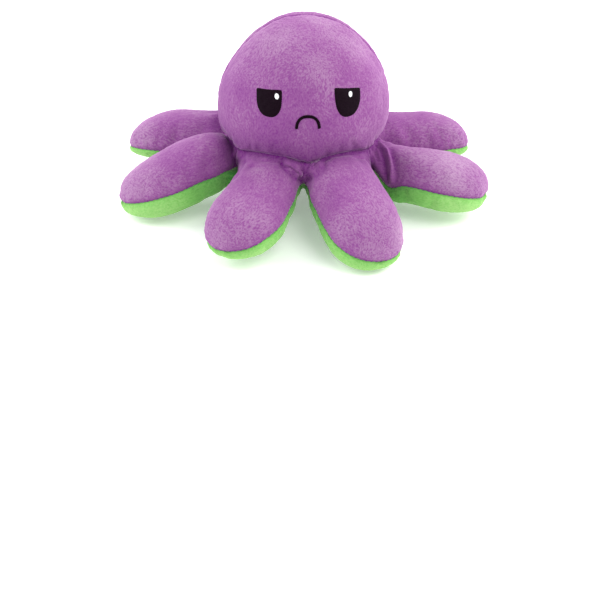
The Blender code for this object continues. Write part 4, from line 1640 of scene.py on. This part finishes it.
def grown(item: bpy.types.Object, tree: bpy.types.NodeTree, values: dict) -> bpy.types.Object:
    """Run a Geometry Nodes tree on a piece with named inputs, and keep the plain result."""
    modifier = item.modifiers.new("grown", "NODES")
    modifier.node_group = tree
    for socket in tree.interface.items_tree:
        if socket.in_out == "INPUT" and socket.name in values:
            modifier[socket.identifier] = values[socket.name]
    item.update_tag()
    settled(item)
    smooth_shaded(item.data)
    return item


@dataclass(frozen=True)
class Stitching:
    """Size of one kind of stitch, in millimetres, and how it lies."""

    spacing: float
    along: float
    across: float
    thickness: float
    slant: float = 0.0
    sway: float = 0.12
    seed: int = 1


RUNNING = Stitching(2.7, 1.5, 0.36, 0.4)
FINE_RUNNING = Stitching(2.1, 1.2, 0.3, 0.34, seed=5)
SATIN = Stitching(0.32, 0.55, 1.75, 0.75, slant=0.3, sway=0.05, seed=9)


@dataclass
class Sewing:
    """Lays stitches along paths."""

    tree: bpy.types.NodeTree
    wardrobe: Wardrobe
    squareness: float = 0.87

    def path(self, name: str, points: list, ups: list, closed: bool) -> bpy.types.Object:
        """Path of edges whose points carry the direction that the cloth faces."""
        count = len(points)
        edges = [(index, index + 1) for index in range(count - 1)]
        if closed:
            edges.append((count - 1, 0))
        mesh = bpy.data.meshes.new(name)
        mesh.from_pydata((np.array(points) * MM).tolist(), edges, [])
        store(mesh, "up", np.array(ups))
        return make_object(name, mesh)

    def sew(self, name: str, points: list, ups: list, stitching: Stitching, slot: Slot,
            closed: bool = False) -> bpy.types.Object:
        """Lay stitches along a path.

        Args:
            name: name of the piece.
            points: places along the path in millimetres.
            ups: direction that the cloth faces at each place.
            stitching: size of the stitches.
            slot: finish of the thread.
            closed: True where the path meets its own start.

        Returns:
            The stitches as one piece.
        """
        item = self.path(name, points, ups, closed)
        grown(item, self.tree, {
            "Spacing": stitching.spacing * MM, "Along": stitching.along * MM,
            "Across": stitching.across * MM, "Thickness": stitching.thickness * MM,
            "Slant": stitching.slant, "Sway": stitching.sway, "Seed": stitching.seed,
            "Thread": self.wardrobe.materials[slot]})
        self.wardrobe.dress(item, slot)
        log.info("%s: %d faces", name, len(item.data.polygons))
        return item

    def bag_seam(self, name: str, node: str, drape: Drape, dome: Dome, outside: bool,
                 foot: float, slot: Slot) -> None:
        """Stitch the crown seam of the head or the pocket."""
        normal = drape.trunk.seam_normal()
        ear = np.cross(normal, [0.0, 0.0, 1.0])
        ear /= np.linalg.norm(ear)
        over = np.cross(ear, normal)
        over *= math.copysign(1.0, over[2])
        centre = np.array([0.0, 0.0, dome.centre])
        points, ups = [], []
        for angle in np.linspace(-0.5, math.pi + 0.5, 150):
            way = ear * math.cos(angle) + over * math.sin(angle)
            guess = centre + way * dome.half_height * (1.0 if outside else 0.95)
            start = centre if not outside else centre + way * 120.0
            ray = Vector(way if not outside else -way)
            hit, _, _, _ = drape.tree.ray_cast(Vector(start) * MM, ray)
            if hit is None or guess[2] < foot:
                continue
            facing = way if outside else -way
            points.append(np.array(hit) / MM + facing * 0.1)
            ups.append(facing)
        item = self.sew(name, points, ups, FINE_RUNNING, slot)
        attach(item, HEAD_BODY)
        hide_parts(node)

    def ring(self, name: str, node: str, drape: Drape, patch: int, slot: Slot) -> None:
        """Stitch round the open edge of the head or the pocket."""
        points, ups = drape.seam(lambda first, second: second == patch)
        item = self.sew(name, points, ups, FINE_RUNNING, slot, closed=True)
        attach(item, HEAD_BODY)
        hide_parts(node)

    def mouth(self, name: str, node: str, drape: Drape, dome: Dome, outside: bool,
              middle: tuple, half_width: float, rise: float) -> None:
        """Embroider a mouth as a row of satin stitches along half an oval.

        Args:
            name: name of the piece.
            node: CAD node that it stands for.
            drape: finds the cloth.
            dome: bag that carries the face.
            outside: True on the head, False inside the pocket.
            middle: place of the oval's centre, across and up.
            half_width: half the mouth's width.
            rise: how far its middle stands above its corners; less than 0 for a smile.
        """
        points, ups = [], []
        for angle in np.linspace(0.0, math.pi, 60):
            across, up = math.cos(angle), math.sin(angle)
            across = math.copysign(abs(across) ** self.squareness, across)
            place, facing = drape.on_bag(dome, middle[0] - half_width * across,
                                         middle[1] + rise * up ** self.squareness, outside)
            points.append(place + facing * 0.2)
            ups.append(facing)
        item = self.sew(name, points, ups, SATIN, Slot.BLACK)
        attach(item, HEAD_BODY)
        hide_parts(node)

    def leg_edge(self, leg: Leg, drape: Drape) -> None:
        """Stitch the edge seam of a leg, from crotch to crotch round its tip."""
        top, under = leg.patches
        points, ups = drape.seam(lambda first, second: (first, second) == (top, under))
        item = self.sew(leg.plan.name + "_edge_stitches", points, ups, RUNNING,
                        Slot.PURPLE_THREAD)
        leg.bend(item)
        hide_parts(leg.plan.name + "_leg_seam", "ring_seam_thread")


def main() -> None:
    """Build and dress the octopus, part by part."""
    logging.basicConfig(level=logging.INFO, format="%(name)s %(message)s")
    Stage().build()
    wardrobe = Wardrobe()
    skin = Skin()
    whole = skin.build()
    skin.fill_out(whole)
    skin.refine(whole)
    skin.sculpt(whole)
    trunk = skin.trunk
    head, pocket = trunk.head(), trunk.pocket()
    Bag(trunk, head, skin.head_patch, Slot.PURPLE, HEAD_PANELS).make(skin, whole, wardrobe)
    Bag(trunk, pocket, skin.pocket_patch, Slot.GREEN, POCKET_PANELS).make(skin, whole, wardrobe)
    drape = Drape(whole, trunk)
    sewing = Sewing(stitches_along_seam(), wardrobe)
    for number, plan in enumerate(LEGS):
        leg = Leg(plan, number)
        leg.make(skin, whole, wardrobe)
        sewing.leg_edge(leg, drape)
    for patch in FROWN:
        patch.make(drape, head, True, wardrobe)
    for patch in SMILE:
        patch.make(drape, pocket, False, wardrobe)
    sewing.mouth("frown_mouth_satin", "frown_mouth", drape, head, True, (0.0, 58.2), 5.6, 6.0)
    sewing.mouth("smile_mouth_satin", "smile_mouth", drape, pocket, False, (0.0, 39.9), 4.6,
                 -5.6)
    sewing.bag_seam("crown_seam_stitches", "crown_seam_thread", drape, head, True, 40.0,
                    Slot.PURPLE_THREAD)
    sewing.bag_seam("pocket_seam_stitches", "pocket_seam_thread", drape, pocket, False, 20.0,
                    Slot.GREEN_THREAD)
    sewing.ring("neck_seam_stitches", "neck_seam_thread", drape, skin.head_patch,
                Slot.PURPLE_THREAD)
    sewing.ring("mouth_seam_stitches", "mouth_seam_thread", drape, skin.pocket_patch,
                Slot.GREEN_THREAD)
    bpy.data.objects.remove(whole)


if __name__ == "__main__":
    main()
